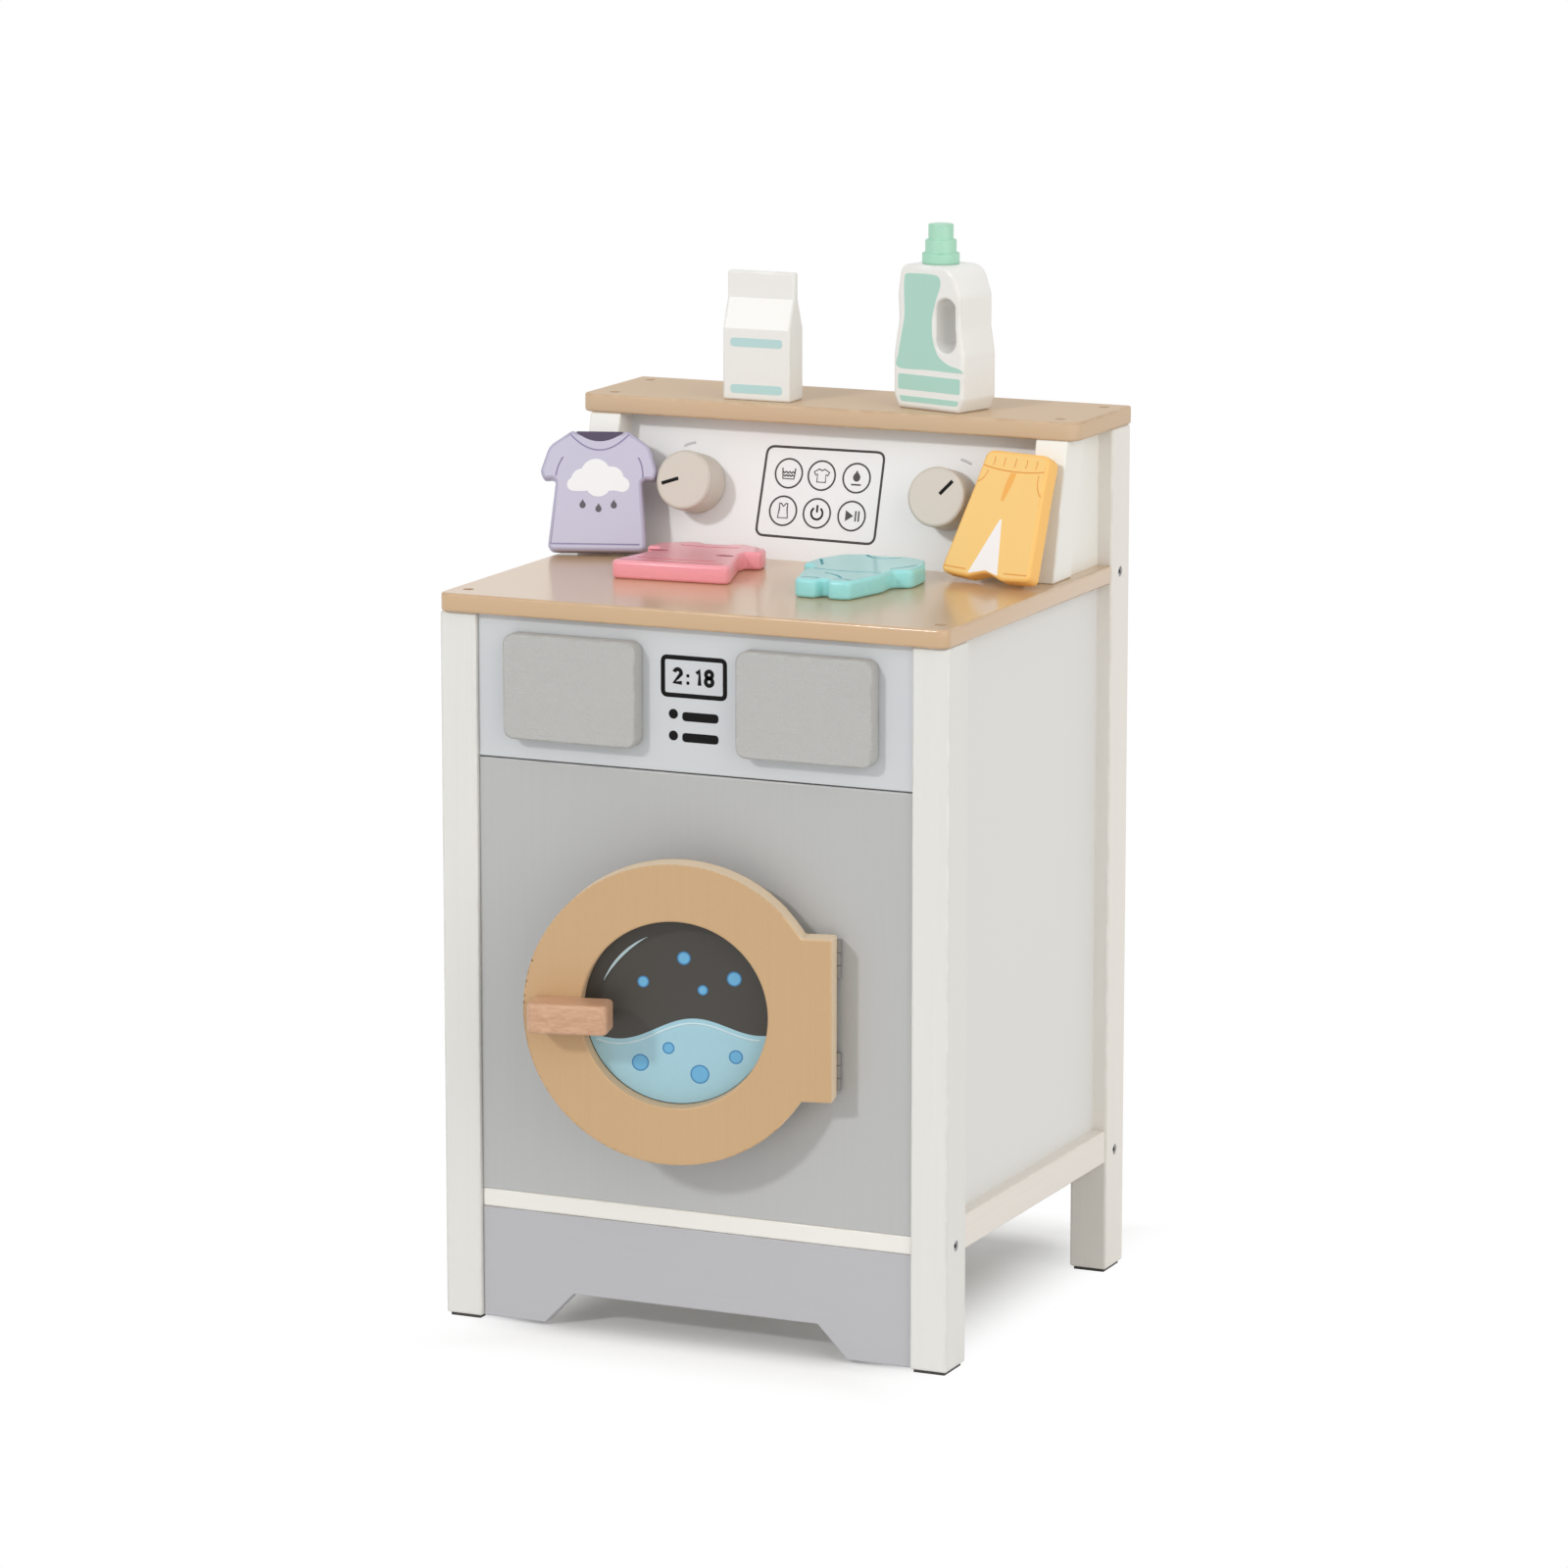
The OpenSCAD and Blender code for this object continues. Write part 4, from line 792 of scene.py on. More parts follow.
# %% [markdown]
# ## Lines, rings and seams
# Printed frames, icons and digits are all lines of one width, and so are the seam lines that a small
# ball cutter leaves in the play clothes. Geometry Nodes turn a path into either of them: a flat
# ribbon that lies on the paint like ink, or a round bar that a Boolean then cuts away. The path is
# drawn flat, in millimetres, and the finished mesh is carried to its surface.

# %% Trees that follow a path
def geometry_tree(name, inputs):
    """A Geometry Nodes tree with named inputs; returns it, its sockets' identifiers and outputs."""
    tree = bpy.data.node_groups.new(name, "GeometryNodeTree")
    tree.interface.new_socket("Geometry", in_out="INPUT", socket_type="NodeSocketGeometry")
    ids = {}
    for label, kind in inputs:
        socket = tree.interface.new_socket(label, in_out="INPUT", socket_type="NodeSocket" + kind)
        ids[label] = socket.identifier
    tree.interface.new_socket("Geometry", in_out="OUTPUT", socket_type="NodeSocketGeometry")
    return tree, ids, tree.nodes.new("NodeGroupInput").outputs


def finish_tree(tree, geometry, material):
    """Ends a tree in real geometry with its material."""
    real = add(tree, "GeometryNodeRealizeInstances", {"Geometry": geometry}).outputs[0]
    done = add(tree, "GeometryNodeSetMaterial", {"Geometry": real, "Material": material}).outputs[0]
    tree.links.new(done, tree.nodes.new("NodeGroupOutput").inputs[0])


def path_tree(name, round_bar):
    """A tree that sweeps a flat ribbon or a round bar along a path of edges."""
    tree, ids, given = geometry_tree(name, [
        ("Width", "Float"), ("Thickness", "Float"), ("Taper", "Float"), ("Material", "Material")])
    curve = add(tree, "GeometryNodeMeshToCurve", {"Mesh": given["Geometry"]}).outputs[0]
    curve = add(tree, "GeometryNodeSetCurveNormal", {"Curve": curve}, mode="Z_UP").outputs[0]
    along = add(tree, "GeometryNodeSplineParameter").outputs["Factor"]
    from_middle = math_node(tree, "ABSOLUTE", math_node(tree, "MULTIPLY_ADD", along, 2.0, -1.0), 0.0)
    thinner = math_node(tree, "MULTIPLY", math_node(tree, "POWER", from_middle, 3.0), given["Taper"])
    curve = add(tree, "GeometryNodeSetCurveRadius", {
        "Curve": curve, "Radius": math_node(tree, "SUBTRACT", 1.0, thinner)}).outputs[0]
    if round_bar:
        radius = math_node(tree, "MULTIPLY", given["Width"], 0.5)
        section = add(tree, "GeometryNodeCurvePrimitiveCircle", {
            "Resolution": 10, "Radius": radius}).outputs[0]
    else:
        section = add(tree, "GeometryNodeCurvePrimitiveQuadrilateral", {
            "Width": given["Width"], "Height": given["Thickness"]}).outputs[0]
    tube = add(tree, "GeometryNodeCurveToMesh", {
        "Curve": curve, "Profile Curve": section, "Fill Caps": True}).outputs[0]
    finish_tree(tree, tube, given["Material"])
    return tree, ids


ribbon_tree = path_tree("printed_line", False)
bar_tree = path_tree("seam_cutter", True)
print("inputs of a line", list(ribbon_tree[1]))

# %% Run a tree on a path
ink_thick, ink_sunk, same_place, seam_weld = 0.16, 0.04, 0.01, 0.001


def closes(path):
    """True where a path ends where it starts."""
    return (Vector(path[0]) - Vector(path[-1])).length < same_place


def grow(name, tree_and_ids, source, face, **values):
    """Runs a tree on a flat source mesh and carries the result to a face."""
    tree, ids = tree_and_ids
    piece = bpy.data.objects.new(name, source)
    bpy.context.scene.collection.objects.link(piece)
    nodes = piece.modifiers.new("grow", "NODES")
    nodes.node_group = tree
    for label, value in values.items():
        nodes[ids[label]] = value
    mesh = bake(piece)
    mesh.transform(face)
    work = bmesh.new()
    work.from_mesh(mesh)
    bmesh.ops.remove_doubles(work, verts=work.verts, dist=seam_weld * mm)
    bmesh.ops.recalc_face_normals(work, faces=work.faces)
    work.to_mesh(mesh)
    work.free()
    return piece


def flat_paths(name, paths, lift=0.0):
    """Open paths, or closed ones that end where they start, as a mesh of edges."""
    verts, edges = [], []
    for path in paths:
        closed = closes(path)
        points = path[:-1] if closed else path
        first = len(verts)
        verts += [(x * mm, y * mm, lift * mm) for x, y in points]
        edges += [(first + i, first + i + 1) for i in range(len(points) - 1)]
        edges += [(first + len(points) - 1, first)] * closed
    mesh = bpy.data.meshes.new(name)
    mesh.from_pydata(verts, edges, [])
    return mesh


def lines(name, paths, width, face, material, body, taper=0.0, lift=0.05):
    """Printed lines of one width on a face."""
    piece = grow(name, ribbon_tree, flat_paths(name, paths, lift), face,
                 Width=width * mm, Thickness=ink_thick * mm, Taper=taper, Material=material)
    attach(piece, body)

# %% Shapes for paths and patches
def bow(start, middle, end, steps=12):
    """A smooth curve from start to end that passes through middle."""
    a, m, b = Vector(start), Vector(middle), Vector(end)
    pull = m * 2 - (a + b) / 2
    spots = [a.lerp(pull, t / steps).lerp(pull.lerp(b, t / steps), t / steps) for t in range(steps + 1)]
    return [(p.x, p.y) for p in spots]


def arc(x, y, radius, start, end, steps=16):
    """A part of a circle between two angles in degrees."""
    turns = [math.radians(start + (end - start) * k / steps) for k in range(steps + 1)]
    return [(x + radius * math.cos(a), y + radius * math.sin(a)) for a in turns]


def circle(x, y, radius, steps=40):
    """A whole circle, closed."""
    return arc(x, y, radius, 0, 360, steps)


def rounded(points, radius, steps=5):
    """A polygon, anticlockwise, with its corners rounded; closed."""
    result = []
    for i, here in enumerate(points):
        q, p, r = Vector(here), Vector(points[i - 1]), Vector(points[(i + 1) % len(points)])
        start, end = q + (p - q).normalized() * radius, q + (r - q).normalized() * radius
        for k in range(steps + 1):
            t = k / steps
            place = start.lerp(q, t).lerp(q.lerp(end, t), t)
            result.append((place.x, place.y))
    return result + result[:1]


def block(left, low, right, high, radius=0):
    """A rectangle; its corners are rounded if a radius is given."""
    corners = [(left, low), (right, low), (right, high), (left, high)]
    return rounded(corners, radius) if radius else corners


def at(place, points):
    """The same points, moved to a place."""
    return [(place[0] + x, place[1] + y) for x, y in points]

# %% Lay a flat print
def anticlockwise(points):
    """The same points in the order that faces outwards."""
    area = sum(a[0] * b[1] - b[0] * a[1] for a, b in zip(points, points[1:] + points[:1]))
    return points if area > 0 else points[::-1]


def joined(name, pieces):
    """Several pieces of one material as one mesh."""
    work = bmesh.new()
    for piece in pieces:
        work.from_mesh(piece.data)
    whole = new_piece(name, work, pieces[0].data.materials[0])
    for piece in pieces:
        mesh = piece.data
        bpy.data.objects.remove(piece)
        bpy.data.meshes.remove(mesh)
    whole.name = name
    return whole


def open_loop(shape):
    """A shape without its last point where that repeats the first."""
    return shape[:-1] if closes(shape) else shape


def patch(name, shapes, face, material, body, lift=0.1):
    """Flat printed areas on a face, thin as ink."""
    levels = [[(0.0, lift), (0.0, -ink_sunk)]]
    made = []
    for shape in shapes:
        loop = [Vector(p) for p in anticlockwise(open_loop(shape))]
        made.append(slab(name, [loop], levels, face, material))
    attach(joined(name, made), body)

# %% [markdown]
# ## Prints on the front and the controls
# The toy's clock, its buttons and its wash programmes are screen-printed. The programmes are plain
# signs that any laundry might use: a tub, a shirt, a drop over a bar, a garment, a power mark and a
# play mark. Digits are drawn as strokes, so they keep one line width.

# %% Print the clock and the buttons on the front
front_plane = face_frame(spot(0, -147, 0), rightwards, upwards)
display = block(-20.6, 419, 22.1, 443, 3.0)
two = arc(-10.4, 433.3, 2.3, 170, -20) + [(-12.9, 427.1), (-7.6, 427.1)]
one = [(2.6, 433.6), (4.6, 435.6), (4.6, 426.2)]
eight = [circle(11.2, 433.5, 2.15), circle(11.2, 428.9, 2.35)]
lines("clock_frame", [display], 2.9, front_plane, ink, "case")
lines("clock_digits", [two, one] + eight, 2.5, front_plane, ink, "case", lift=0.09)
patch("clock_colon", [block(x - 1, z - 1, x + 1, z + 1, 0.4) for x, z in ((-3.4, 431.8), (-3.4, 427.2))],
      front_plane, ink, "case")
patch("button_dots", [circle(-13.5, z, 3.15) for z in (407, 393.2)], front_plane, ink, "case")
patch("button_bars", [block(-7.4, z - 2.9, 17.6, z + 2.9, 2.6) for z in (405.8, 392.5)],
      front_plane, ink, "case")

# %% Print the frames of the programme signs on the control panel
lean = math.radians(14)
panel_up = Vector((0, math.sin(lean), math.cos(lean)))
panel_foot, knob_reach = spot(0, 52.963, 474), 24.5
panel_plane = face_frame(panel_foot, rightwards, panel_up)
frame_corners = [(-49.9, 15.4), (34.4, 14.3), (35.8, 74.2), (-47.3, 73.8)]
lines("programme_frame", [rounded(frame_corners, 5.5)], 1.6, panel_plane, line_ink, "case")
signs = [(-30.5, 56.8), (-7.1, 56.7), (17.7, 56.5), (-32.0, 32.1), (-7.9, 31.9), (16.8, 31.7)]
lines("programme_rings", [circle(x, y, 9.5, 48) for x, y in signs], 1.15, panel_plane, line_ink, "case")

# %% Print the signs in their rings
wave = [(x / 2, 0.55 * math.sin(x * 1.3)) for x in range(-8, 9)]
waves = [[(x, y + 0.6) for x, y in wave], [(x * 0.85, y - 1.5) for x, y in wave]]
tub = [(-4.6, 3.4), (-3.9, -3.6), (3.9, -3.6), (4.6, 3.4)]
tee = [(-1.9, 4.2), (-5.4, 2.2), (-4.3, 0.1), (-3.0, 0.8), (-3.0, -4.4), (3.0, -4.4), (3.0, 0.8),
       (4.3, 0.1), (5.4, 2.2), (1.9, 4.2), (0, 3.2), (-1.9, 4.2)]
vest = [(-2.9, 4.8), (-1.6, 4.8), (0, 2.9), (1.6, 4.8), (2.9, 4.8), (2.7, 1.2), (3.5, -4.6),
        (-3.5, -4.6), (-2.7, 1.2), (-2.9, 4.8)]
drop = [(0, 5.2)] + bow((1.0, 3.4), (2.3, 1.6), (2.5, 0.4), 4) + arc(0, 0.2, 2.5, 0, -180, 14) + bow(
    (-2.5, 0.4), (-2.3, 1.6), (-1.0, 3.4), 4)
lines("sign_strokes", [at(signs[0], tub), at(signs[0], waves[0]), at(signs[0], waves[1]), at(signs[1], tee),
                       at(signs[3], vest)], 0.85, panel_plane, line_ink, "case")
power = arc(0, 0, 4.0, 125, 415, 24)
lines("power_sign", [at(signs[4], power), at(signs[4], [(0, 0.6), (0, 5.4)])], 1.3,
      panel_plane, ink, "case")
play = [(-4.4, -3.6), (1.2, 0), (-4.4, 3.6)]
patch("sign_areas", [at(signs[2], drop), at(signs[2], block(-3.4, -4.9, 3.4, -3.8)), at(signs[5], play),
                     at(signs[5], block(2.2, -3.4, 3.3, 3.4)), at(signs[5], block(4.4, -3.4, 5.5, 3.4))],
      panel_plane, line_ink, "case")

# %% Mark the knobs and their scales
lines("scale_marks", [arc(-94.3, 45.96, 27.5, 100, 118, 6), arc(84.4, 45.96, 27.5, 62, 80, 6)],
      1.6, panel_plane, faint_ink, "case")
knob_face = panel_foot + panel_plane.to_3x3() @ Vector((0, 0, knob_reach * mm))
knob_plane = face_frame(knob_face, rightwards, panel_up)
lines("pointer_left", [[(-109.5, 42.8), (-97.9, 46.8)]], 2.3, knob_plane, ink, "knob_l")
lines("pointer_right", [[(87.1, 47.8), (95.2, 56.7)]], 2.3, knob_plane, ink, "knob_r")

# %% [markdown]
# ## The window
# Behind the ring sits a dark disc with water printed on it. The water is a patch whose upper edge is
# a gentle swell, and the bubbles are one small disc that Geometry Nodes place on points, each with
# its own size: a dark one first, and a lighter one on top of it, which leaves a rim.

# %% Print the water
window_plane = door_plane(13.0)
inside = 59.2
level, crest, wave_length, slope = -11.0, 6.0, 14.5, 0.06
swell = [(x, level + crest * math.sin((x + 14) / wave_length) + slope * x) for x in range(-58, 59, 2)]
swell = [(x, y) for x, y in swell if math.hypot(x, y) < inside]
start, end = (math.degrees(math.atan2(y, x)) for x, y in (swell[-1], swell[0]))
shore = arc(0, 0, inside, start, end - 360 if end > start else end, 60)
water, foam, bubble_blue, bubble_rim = (
    plain_finish(name, colour, 0.4, scatter=0.03, scale=200) for name, colour in (
        ("water_print", (159, 200, 214)), ("foam_print", (196, 222, 231)),
        ("bubble_print", (104, 172, 212)), ("bubble_rim_print", (62, 128, 178))))
patch("window_water", [swell + shore[1:-1]], window_plane, water, "door")
lines("water_crest", [[(x, y - 3.2) for x, y in swell[2:-2]]], 1.3, window_plane, foam, "door",
      taper=0.8, lift=0.1)
outer_side = arc(0, 0, 50.5, 112, 160, 18)
patch("window_glint", [outer_side + bow(outer_side[-1], (-35.0, 33.8), outer_side[0], 18)[1:-1]],
      window_plane, foam, "door", lift=0.06)

# %% Scatter the bubbles
disc_tree, disc_ids, given = geometry_tree("printed_discs", [
    ("Rim", "Float"), ("Thickness", "Float"), ("Material", "Material")])
disc = add(disc_tree, "GeometryNodeMeshCylinder", {
    "Vertices": 36, "Radius": 1.0, "Depth": given["Thickness"]}).outputs["Mesh"]
size = add(disc_tree, "GeometryNodeInputNamedAttribute", {"Name": "size"}).outputs["Attribute"]
size = math_node(disc_tree, "ADD", size, given["Rim"])
spread = add(disc_tree, "ShaderNodeCombineXYZ", {"X": size, "Y": size, "Z": 1.0}).outputs[0]
discs = add(disc_tree, "GeometryNodeInstanceOnPoints", {
    "Points": add(disc_tree, "GeometryNodeMeshToPoints", {"Mesh": given["Geometry"]}).outputs[0],
    "Instance": disc, "Scale": spread}).outputs[0]
finish_tree(disc_tree, discs, given["Material"])
bubbles = [(-22, 18, 2.8), (4, 34, 3.4), (16, 14, 2.4), (36, 22, 3.8), (-24, -34, 4.6), (-6, -24, 3.0),
           (14, -40, 5.2), (37, -28, 3.6)]
for name, rim, lift, material in (("bubble_rims", 0.9, 0.14, bubble_rim), ("bubbles", 0.0, 0.2, bubble_blue)):
    points = bpy.data.meshes.new(name)
    points.from_pydata([(x * mm, y * mm, lift / 2 * mm) for x, y, _ in bubbles], [], [])
    sizes = points.attributes.new("size", "FLOAT", "POINT").data
    sizes.foreach_set("value", [radius * mm for _, _, radius in bubbles])
    piece = grow(name, (disc_tree, disc_ids), points, window_plane,
                 Rim=rim * mm, Thickness=lift * mm, Material=material)
    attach(piece, "door")
print("bubbles", len(bubbles))

# %% [markdown]
# ## Seams and prints on the play pieces
# Seams are grooves. A round bar is grown along each seam, half sunk in the surface, and a Boolean
# takes it away. The groove keeps the bar's darker paint, which is painted shade for the shadow in the groove.

# %% Cut the seams
def darker(name, colour, gloss=0.5):
    """A plain paint for prints and for the painted shade in grooves, with no edge tone."""
    return paint(name, colour, colour, gloss, 0.02, 0.02, wear_and_side_light=0.0)


cutter_lift, bar_thick = 0.12, 0.1


def engrave(node, paths, face, material, width=1.1, taper=0.7):
    """Cuts seams into a piece that is already shaped."""
    piece = shaped[node]
    before = len(piece.data.polygons)
    source = flat_paths("seams_" + node, paths, cutter_lift)
    cutter = grow("seams_" + node, bar_tree, source, face, Width=width * mm,
                  Thickness=bar_thick * mm, Taper=taper, Material=material)
    cut = piece.modifiers.new("seams", "BOOLEAN")
    cut.operation, cut.solver, cut.object = "DIFFERENCE", "EXACT", cutter
    cut.use_self, cut.material_mode = True, "TRANSFER"
    bake(piece)
    mesh = cutter.data
    bpy.data.objects.remove(cutter)
    bpy.data.meshes.remove(mesh)
    print(node, "faces", before, "->", len(piece.data.polygons), [m.name for m in piece.data.materials])


# The groove paints are darker copies of the clothes' paints: painted shade inside the seams.
shirt_groove_shade = darker("lavender_groove_shade", (150, 143, 176))
yellow_groove_shade = darker("yellow_groove_shade", (232, 164, 78))
pink_groove_shade = darker("pink_groove_shade", (204, 88, 106))
teal_groove_shade = darker("teal_groove_shade", (74, 164, 176))

# %% Cut the shirt and the trousers
shirt_paths = [
    bow((-20, 78), (0, 66.8), (20, 78), 18), bow((-28, 49.4), (-26.6, 56), (-23.6, 62)),
    bow((29.2, 48), (28.3, 56), (25.8, 62)), [(-31.4, 4.6), (28, 4.4)]]
gathers = [[(x, 74.6), (x + 0.3, 77.6), (x, 80.4)] for x in (-17, -9, 0, 9, 17)]
trouser_paths = [
    bow((-24.6, 74), (0, 71.6), (24.6, 73.6), 16), bow((-20, 71), (-22.5, 65), (-28, 62)),
    bow((21, 71), (22.5, 63), (27, 57)), [(-33.4, 5.2), (-16, 4.6)], [(15, 4.6), (33.2, 5.2)]]
engrave("play_shirt", shirt_paths, shirt_face, shirt_groove_shade)
engrave("play_trousers", trouser_paths + gathers, trousers_face, yellow_groove_shade, width=0.9)

# %% Cut the dress and the romper
dress_paths = [
    bow((-35, 7), (0, 5.4), (34, 7), 16), bow((-28, 17), (0, 15.6), (25, 17.4), 12),
    bow((-20, 74), (0, 71), (20, 74)), bow((-8, 88), (0, 83), (8, 88))]
romper_paths = [
    bow((-33, 78), (-28, 68), (-24, 59)), bow((33, 80), (29, 70), (23, 59)),
    bow((-12, 105), (0, 95), (12, 105)), bow((-17, 8), (-11, 10.5), (-5, 8.4), 8),
    bow((5, 8.4), (11, 10.5), (17, 8), 8), bow((-23, 44), (0, 40), (23, 44), 16),
    bow((-10, 30), (0, 24), (8, 14))]
engrave("play_dress", dress_paths, dress_face, pink_groove_shade, width=2.2)
engrave("play_romper", romper_paths, romper_face, teal_groove_shade, width=1.9)

# %% [markdown]
# The shirt's neck shows its dark inside, and a rain cloud is printed on its front. The cloud is a
# handful of circles, and only their common outline is kept. Small patches make the drops, the
# pockets, the fly and the gap between the trouser legs.

# %% Print on the shirt
def cloud_edge(circles, x, y, steps=72):
    """The outline of circles that overlap, seen from a place inside them."""
    outline = []
    for k in range(steps):
        a = math.tau * k / steps
        far = 0
        for cx, cy, r in circles:
            near = (cx - x) * math.cos(a) + (cy - y) * math.sin(a)
            off = (cx - x) ** 2 + (cy - y) ** 2 - near ** 2
            if off < r * r:
                far = max(far, near + math.sqrt(r * r - off))
        outline.append((x + far * math.cos(a), y + far * math.sin(a)))
    return outline


neck_shade = darker("neck_shade", (74, 62, 88))
fly_orange = darker("fly_paint", (243, 176, 84), 0.42)
gap_white = paint("gap_white", (246, 242, 242), (236, 230, 228), 0.4, 0.02, 0.02)
cloud_white = paint("cloud_print", (236, 238, 240), (230, 230, 232), 0.45, 0.02, 0.02)
drop_grey = darker("drop_print", (86, 84, 92))
pocket_red = darker("pocket_print", (158, 62, 84))
neck = bow((-15.6, 78.6), (0, 72.6), (15.6, 78.6), 18) + [(14.6, 79.1), (-14.6, 79.1)]
patch("shirt_neck", [neck], shirt_face, neck_shade, "shirt", lift=0.05)
puffs = [(-10.5, 47, 7.5), (-2, 51.5, 9.5), (8.5, 48, 8), (0, 44.5, 8.5), (-16, 44, 4.6), (15.5, 44, 5)]
patch("cloud", [cloud_edge(puffs, 0, 45)], shirt_face, cloud_white, "shirt")
small_drop = [(x * 0.8, y * 0.8) for x, y in drop]
patch("rain", [at(place, small_drop) for place in ((-10, 30), (0.5, 27.5), (10.5, 30))],
      shirt_face, drop_grey, "shirt")

# %% Print on the dress and the trousers
pockets = [(-26, 48, 14), (23, 41, 12)]
patch("dress_pockets", [at((x, y), [(px * wide, py * 5) for px, py in circle(0, 0, 0.5, 24)])
                        for x, y, wide in pockets], dress_face, pocket_red, "dress")
gap = [(-13.6, 2.0), (0, 5.4), (9, 3.0), (10.4, 3.0), (1.6, 39.5), (0.2, 39.5)]
patch("trousers_gap", [gap], trousers_face, gap_white, "trousers")
fly = bow((-1.4, 70.8), (-3.2, 62), (-3.4, 52), 8) + bow((-1.4, 51.6), (1.6, 62), (3.0, 70.8), 8)
patch("trousers_fly", [fly], trousers_face, fly_orange, "trousers", lift=0.06)

# %% [markdown]
# The carton and the bottle carry plain bars and a label in two mint tones. The label follows the
# bottle's handle, so its outline is a list of the places where the curve turns, joined smoothly.

# %% Print the carton and the bottle
def smooth(points, steps=6):
    """A closed smooth curve through points."""
    result, count = [], len(points)
    for i in range(count):
        p0, p1, p2, p3 = (Vector(points[(i + k) % count]) for k in (-1, 0, 1, 2))
        for k in range(steps):
            t = k / steps
            result.append(tuple(0.5 * (2 * p1 + (p2 - p0) * t + (2 * p0 - 5 * p1 + 4 * p2 - p3) * t ** 2
                                       + (3 * p1 - p0 - 3 * p2 + p3) * t ** 3)))
    return result


bar_teal = darker("carton_bar_print", (182, 216, 216), 0.45)
label_mint = darker("label_print", (172, 214, 201), 0.42)
carton_plane = face_frame(spot(-54.5, 68, shelf_top), rightwards, upwards)
patch("carton_bars", [block(-18.5, z - 2.9, 18.5, z + 2.9, 2.6) for z in (38, 7.5)],
      carton_plane, bar_teal, "carton")
label = [(-24.4, 26.6), (0, 26.6), (26.6, 26.6), (25.8, 29.2), (17, 31.2), (8.6, 36.5), (4.2, 46.4),
         (3.4, 59), (6.2, 71), (10.2, 82), (8.6, 87.4), (2, 88.6), (-10, 88.4), (-18, 87.6), (-19.6, 83),
         (-19.6, 73), (-19.4, 60), (-22, 47), (-24.2, 36)]
patch("bottle_label", [smooth(label)], bottle_face, label_mint, "bottle")
patch("bottle_bands", [block(-24.4, 12.6, 26.6, 22.6, 1.4),
                       rounded([(-22, 4.8), (24.2, 4.8), (25.6, 8.4), (-23.4, 8.4)], 1.0)],
      bottle_face, label_mint, "bottle")

# %% [markdown]
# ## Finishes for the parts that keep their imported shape
# Hinges, screws, drawer boxes and the inner boards are already right as solids. They only need their
# finish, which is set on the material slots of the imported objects.

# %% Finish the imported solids
hinge_parts = ("leaves_fixed", "pins", "screws_fixed", "leaves_door", "screws_door")
finishes = {
    steel: ["counter_screws", "shelf_screws", "side_bolts", "handle_screws", "door_strike"],
    # The hinges take the dark grey of the shadow they sit in, which is painted shade.
    hinge_shade_grey: [f"hinge_{part}" for part in hinge_parts],
    plywood: ["runner_shelf", "drawer_guides"] + [
        f"drawer_{part}_{side}" for part in ("walls", "floor", "rear") for side in ("left", "right")],
    white_flat: ["side_panel_left", "side_panel_right", "back_panel"],
    # The riser sides take the lighter copy of the white paint, which is painted light in their shade.
    white_lifted: ["riser_side_left", "riser_side_right"],
    control_white: ["control_panel"], felt: ["foot_pads"], magnet_case: ["door_magnet"],
    beech_turned: ["knob_dowel_left", "knob_dowel_right"], charcoal: ["door_window"]}
for material, names in finishes.items():
    for name in names:
        cad_nodes[name].data.materials.clear()
        cad_nodes[name].data.materials.append(material)
print("packed solids finished", sum(len(names) for names in finishes.values()))

# %% [markdown]
# ## Floor and light
# A pale seamless floor keeps the toy's shadow near its feet. Only the camera and reflections see
# two more things in it: a faint glow round the case, and further away a white that has no edge.

# %% Lay the floor
sheet_half = 40
corners = ((-1, -1), (1, -1), (1, 1), (-1, 1))
floor_mesh = bpy.data.meshes.new("studio_floor")
floor_mesh.from_pydata([(x * sheet_half, y * sheet_half, 0) for x, y in corners], [], [(0, 1, 2, 3)])
floor = bpy.data.objects.new("studio_floor", floor_mesh)
bpy.context.scene.collection.objects.link(floor)
floor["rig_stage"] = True
print("floor metres", floor.dimensions.x)

# %% [markdown]
# The floor's paper has to know how far a place lies outside the case, so it measures in metres from
# the case's middle: to the side, in front of the feet, and behind them. The glow starts just outside
# the feet, and the white takes over further out, sooner in front and behind than at the sides.

# %% Colour the floor's paper
half_width, front_reach, rear_reach = 0.175, 0.16, 0.185
glow_from, glow_full, glow_strength = -0.02, 0.01, 0.22
white_slope_side, white_from_side, white_slope_clear = 11.0, -0.97, 14.0
paper = bpy.data.materials.new("floor_paper")
paper.use_nodes = True
tree = paper.node_tree
tree.nodes.remove(tree.nodes["Principled BSDF"])
matt = add(tree, "ShaderNodeBsdfDiffuse", {"Color": (0.82, 0.82, 0.82, 1)}).outputs[0]
path = add(tree, "ShaderNodeLightPath").outputs
seen = math_node(tree, "MAXIMUM", path["Is Camera Ray"], path["Is Glossy Ray"])
place = add(tree, "ShaderNodeTexCoord").outputs["Object"]
middle = {0: place, 1: (middle_x, middle_y, 0)}
from_case = add(tree, "ShaderNodeVectorMath", middle, operation="SUBTRACT").outputs[0]
from_case = add(tree, "ShaderNodeSeparateXYZ", {0: from_case}).outputs
beside = math_node(tree, "ABSOLUTE", from_case["X"], 0.0)
before = math_node(tree, "MULTIPLY_ADD", from_case["Y"], -1.0, -front_reach)
behind = math_node(tree, "SUBTRACT", from_case["Y"], rear_reach)
clear = math_node(tree, "MAXIMUM", before, behind)
glow_level = add(tree, "ShaderNodeMapRange", {
    "Value": math_node(tree, "MAXIMUM", math_node(tree, "SUBTRACT", beside, half_width), clear),
    "From Min": glow_from, "From Max": glow_full, "To Min": 0.0, "To Max": glow_strength}).outputs[0]
far_x = math_node(tree, "MULTIPLY_ADD", beside, white_slope_side, white_from_side)
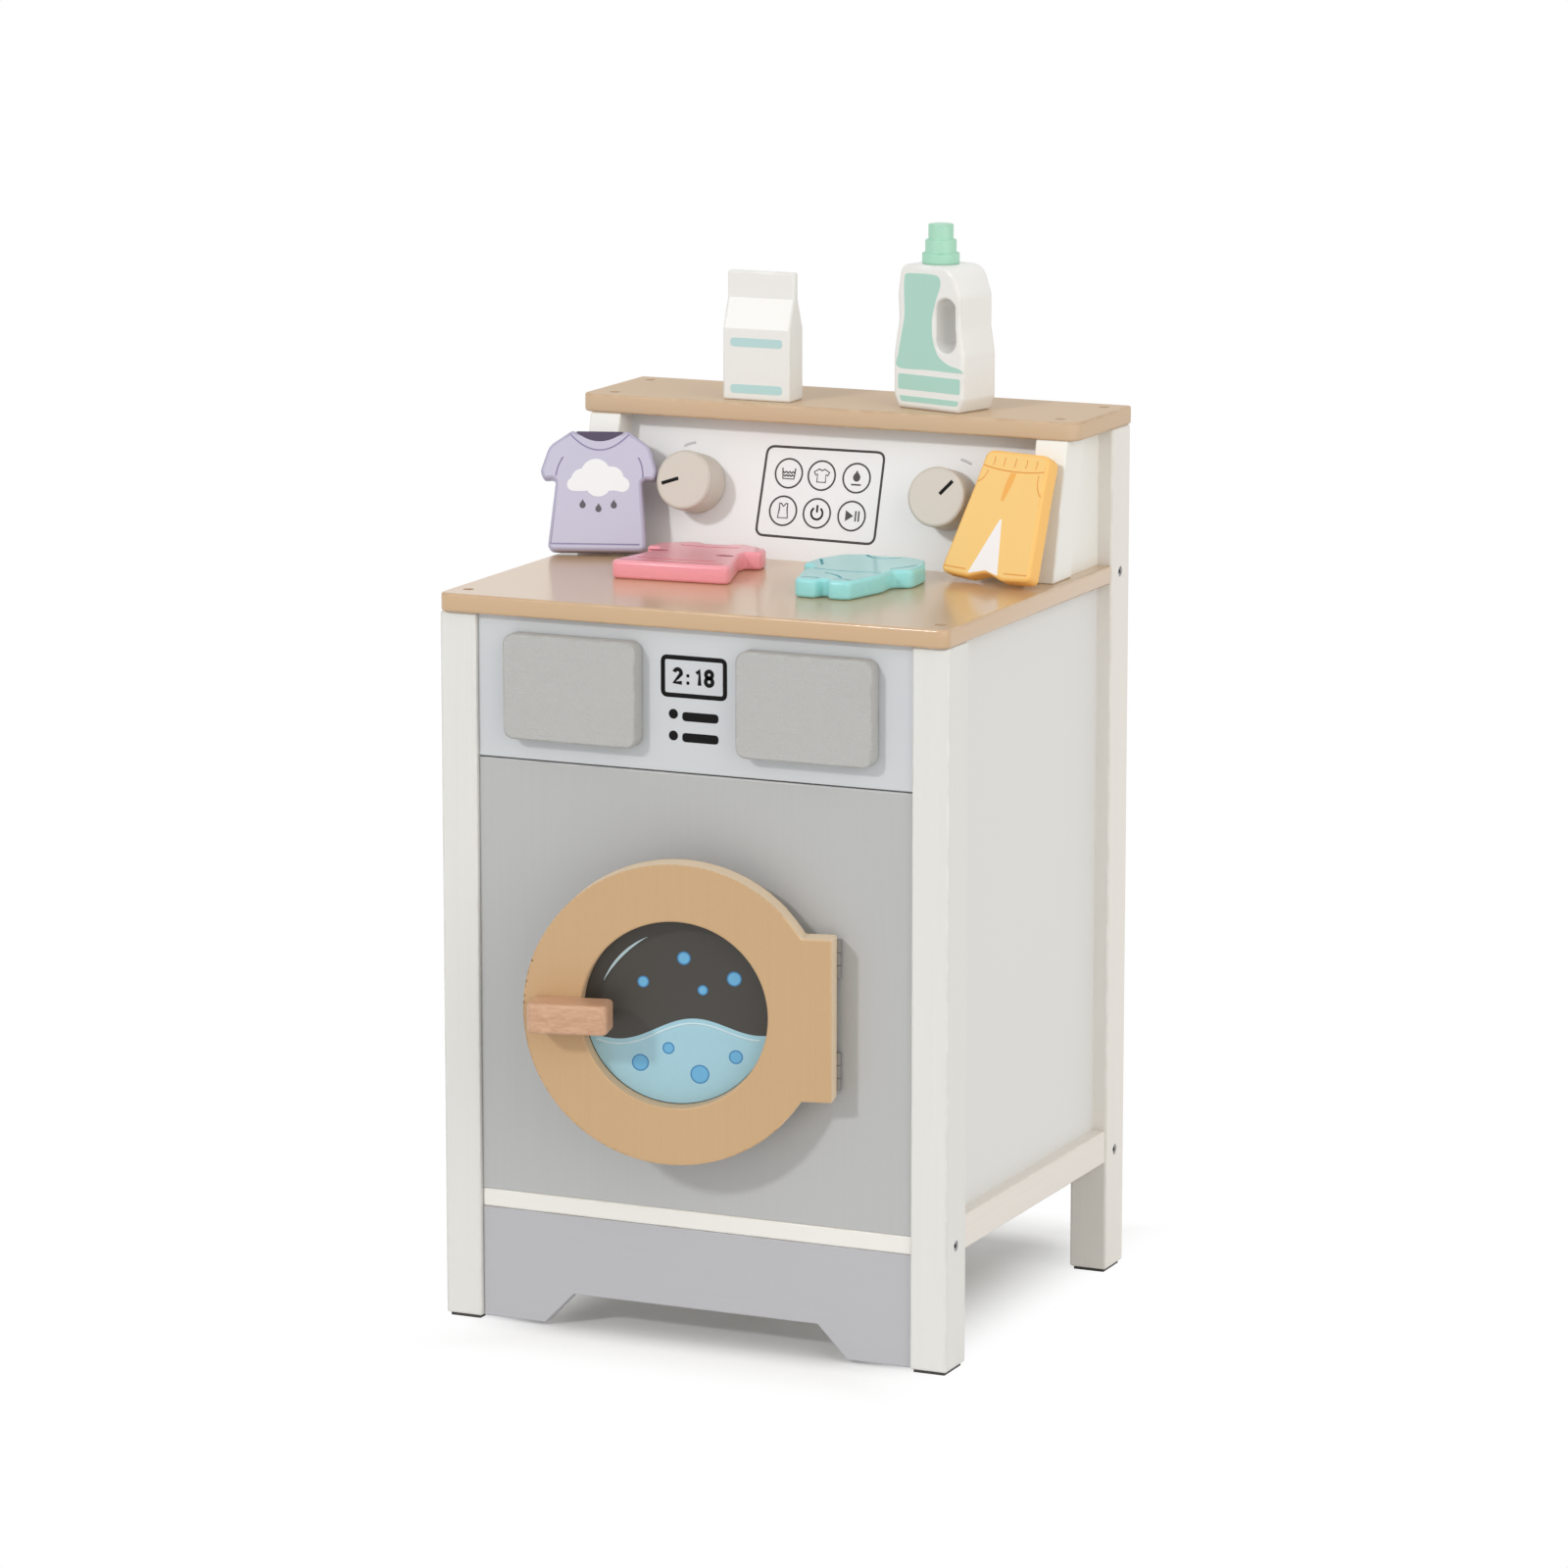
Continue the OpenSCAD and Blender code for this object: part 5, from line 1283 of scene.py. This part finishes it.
far_y = math_node(tree, "MULTIPLY", clear, white_slope_clear)
far = add(tree, "ShaderNodeMapRange", {
    "Value": math_node(tree, "MAXIMUM", far_x, far_y)}, interpolation_type="SMOOTHSTEP").outputs[0]
glow = add(tree, "ShaderNodeEmission", {
    "Color": (1, 1, 1, 1), "Strength": math_node(tree, "MULTIPLY", seen, glow_level)}).outputs[0]
near_floor = add(tree, "ShaderNodeAddShader", {0: matt, 1: glow}).outputs[0]
far_floor = add(tree, "ShaderNodeEmission", {"Color": (1, 1, 1, 1), "Strength": 1.0}).outputs[0]
both_floors = add(tree, "ShaderNodeMixShader", {
    0: math_node(tree, "MULTIPLY", seen, far), 1: near_floor, 2: far_floor}).outputs[0]
tree.links.new(both_floors, tree.nodes["Material Output"].inputs["Surface"])
floor_mesh.materials.append(paper)
print("floor paper nodes", len(tree.nodes))

# %% [markdown]
# One lamp with a small disc stands high at the front left and draws the shadows. A wide, slightly warm
# one at the right lifts the side, and an even sky lights the rest, so that colours stay plain.

# %% Light the set
sky_on_object = 0.66
world = bpy.data.worlds.new("studio_air")
bpy.context.scene.world = world
world.use_nodes = True
tree = world.node_tree
path = add(tree, "ShaderNodeLightPath").outputs
seen = math_node(tree, "MAXIMUM", path["Is Camera Ray"], path["Is Glossy Ray"])
level = add(tree, "ShaderNodeMapRange", {"Value": seen, "To Min": sky_on_object, "To Max": 1.0}).outputs[0]
tree.links.new(level, tree.nodes["Background"].inputs["Strength"])
tree.nodes["Background"].inputs["Color"].default_value = (1, 1, 1, 1)


def distant_lamp(name, towards, strength, spread, colour=(1, 1, 1)):
    """A lamp so far away that its light comes from one direction everywhere."""
    data = bpy.data.lights.new(name, "SUN")
    data.energy, data.angle, data.color = strength, math.radians(spread), colour
    lamp = bpy.data.objects.new(name, data)
    lamp.rotation_euler = Vector(towards).to_track_quat("Z", "Y").to_euler()
    bpy.context.scene.collection.objects.link(lamp)


distant_lamp("key_lamp", (-0.39, -1.0, 0.60), strength=0.88, spread=5)
distant_lamp("fill_lamp", (1.0, -0.42, 0.38), strength=0.97, spread=60, colour=(1.0, 0.955, 0.89))
print("lamps", len(bpy.data.lights))

# %% [markdown]
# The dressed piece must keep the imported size, so both boxes are measured and written down.

# %% Measure and finish
low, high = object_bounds()
for label, size in (("packed box", cad_high - cad_low), ("dressed box", high - low)):
    print(label, [round(value / mm, 1) for value in size])
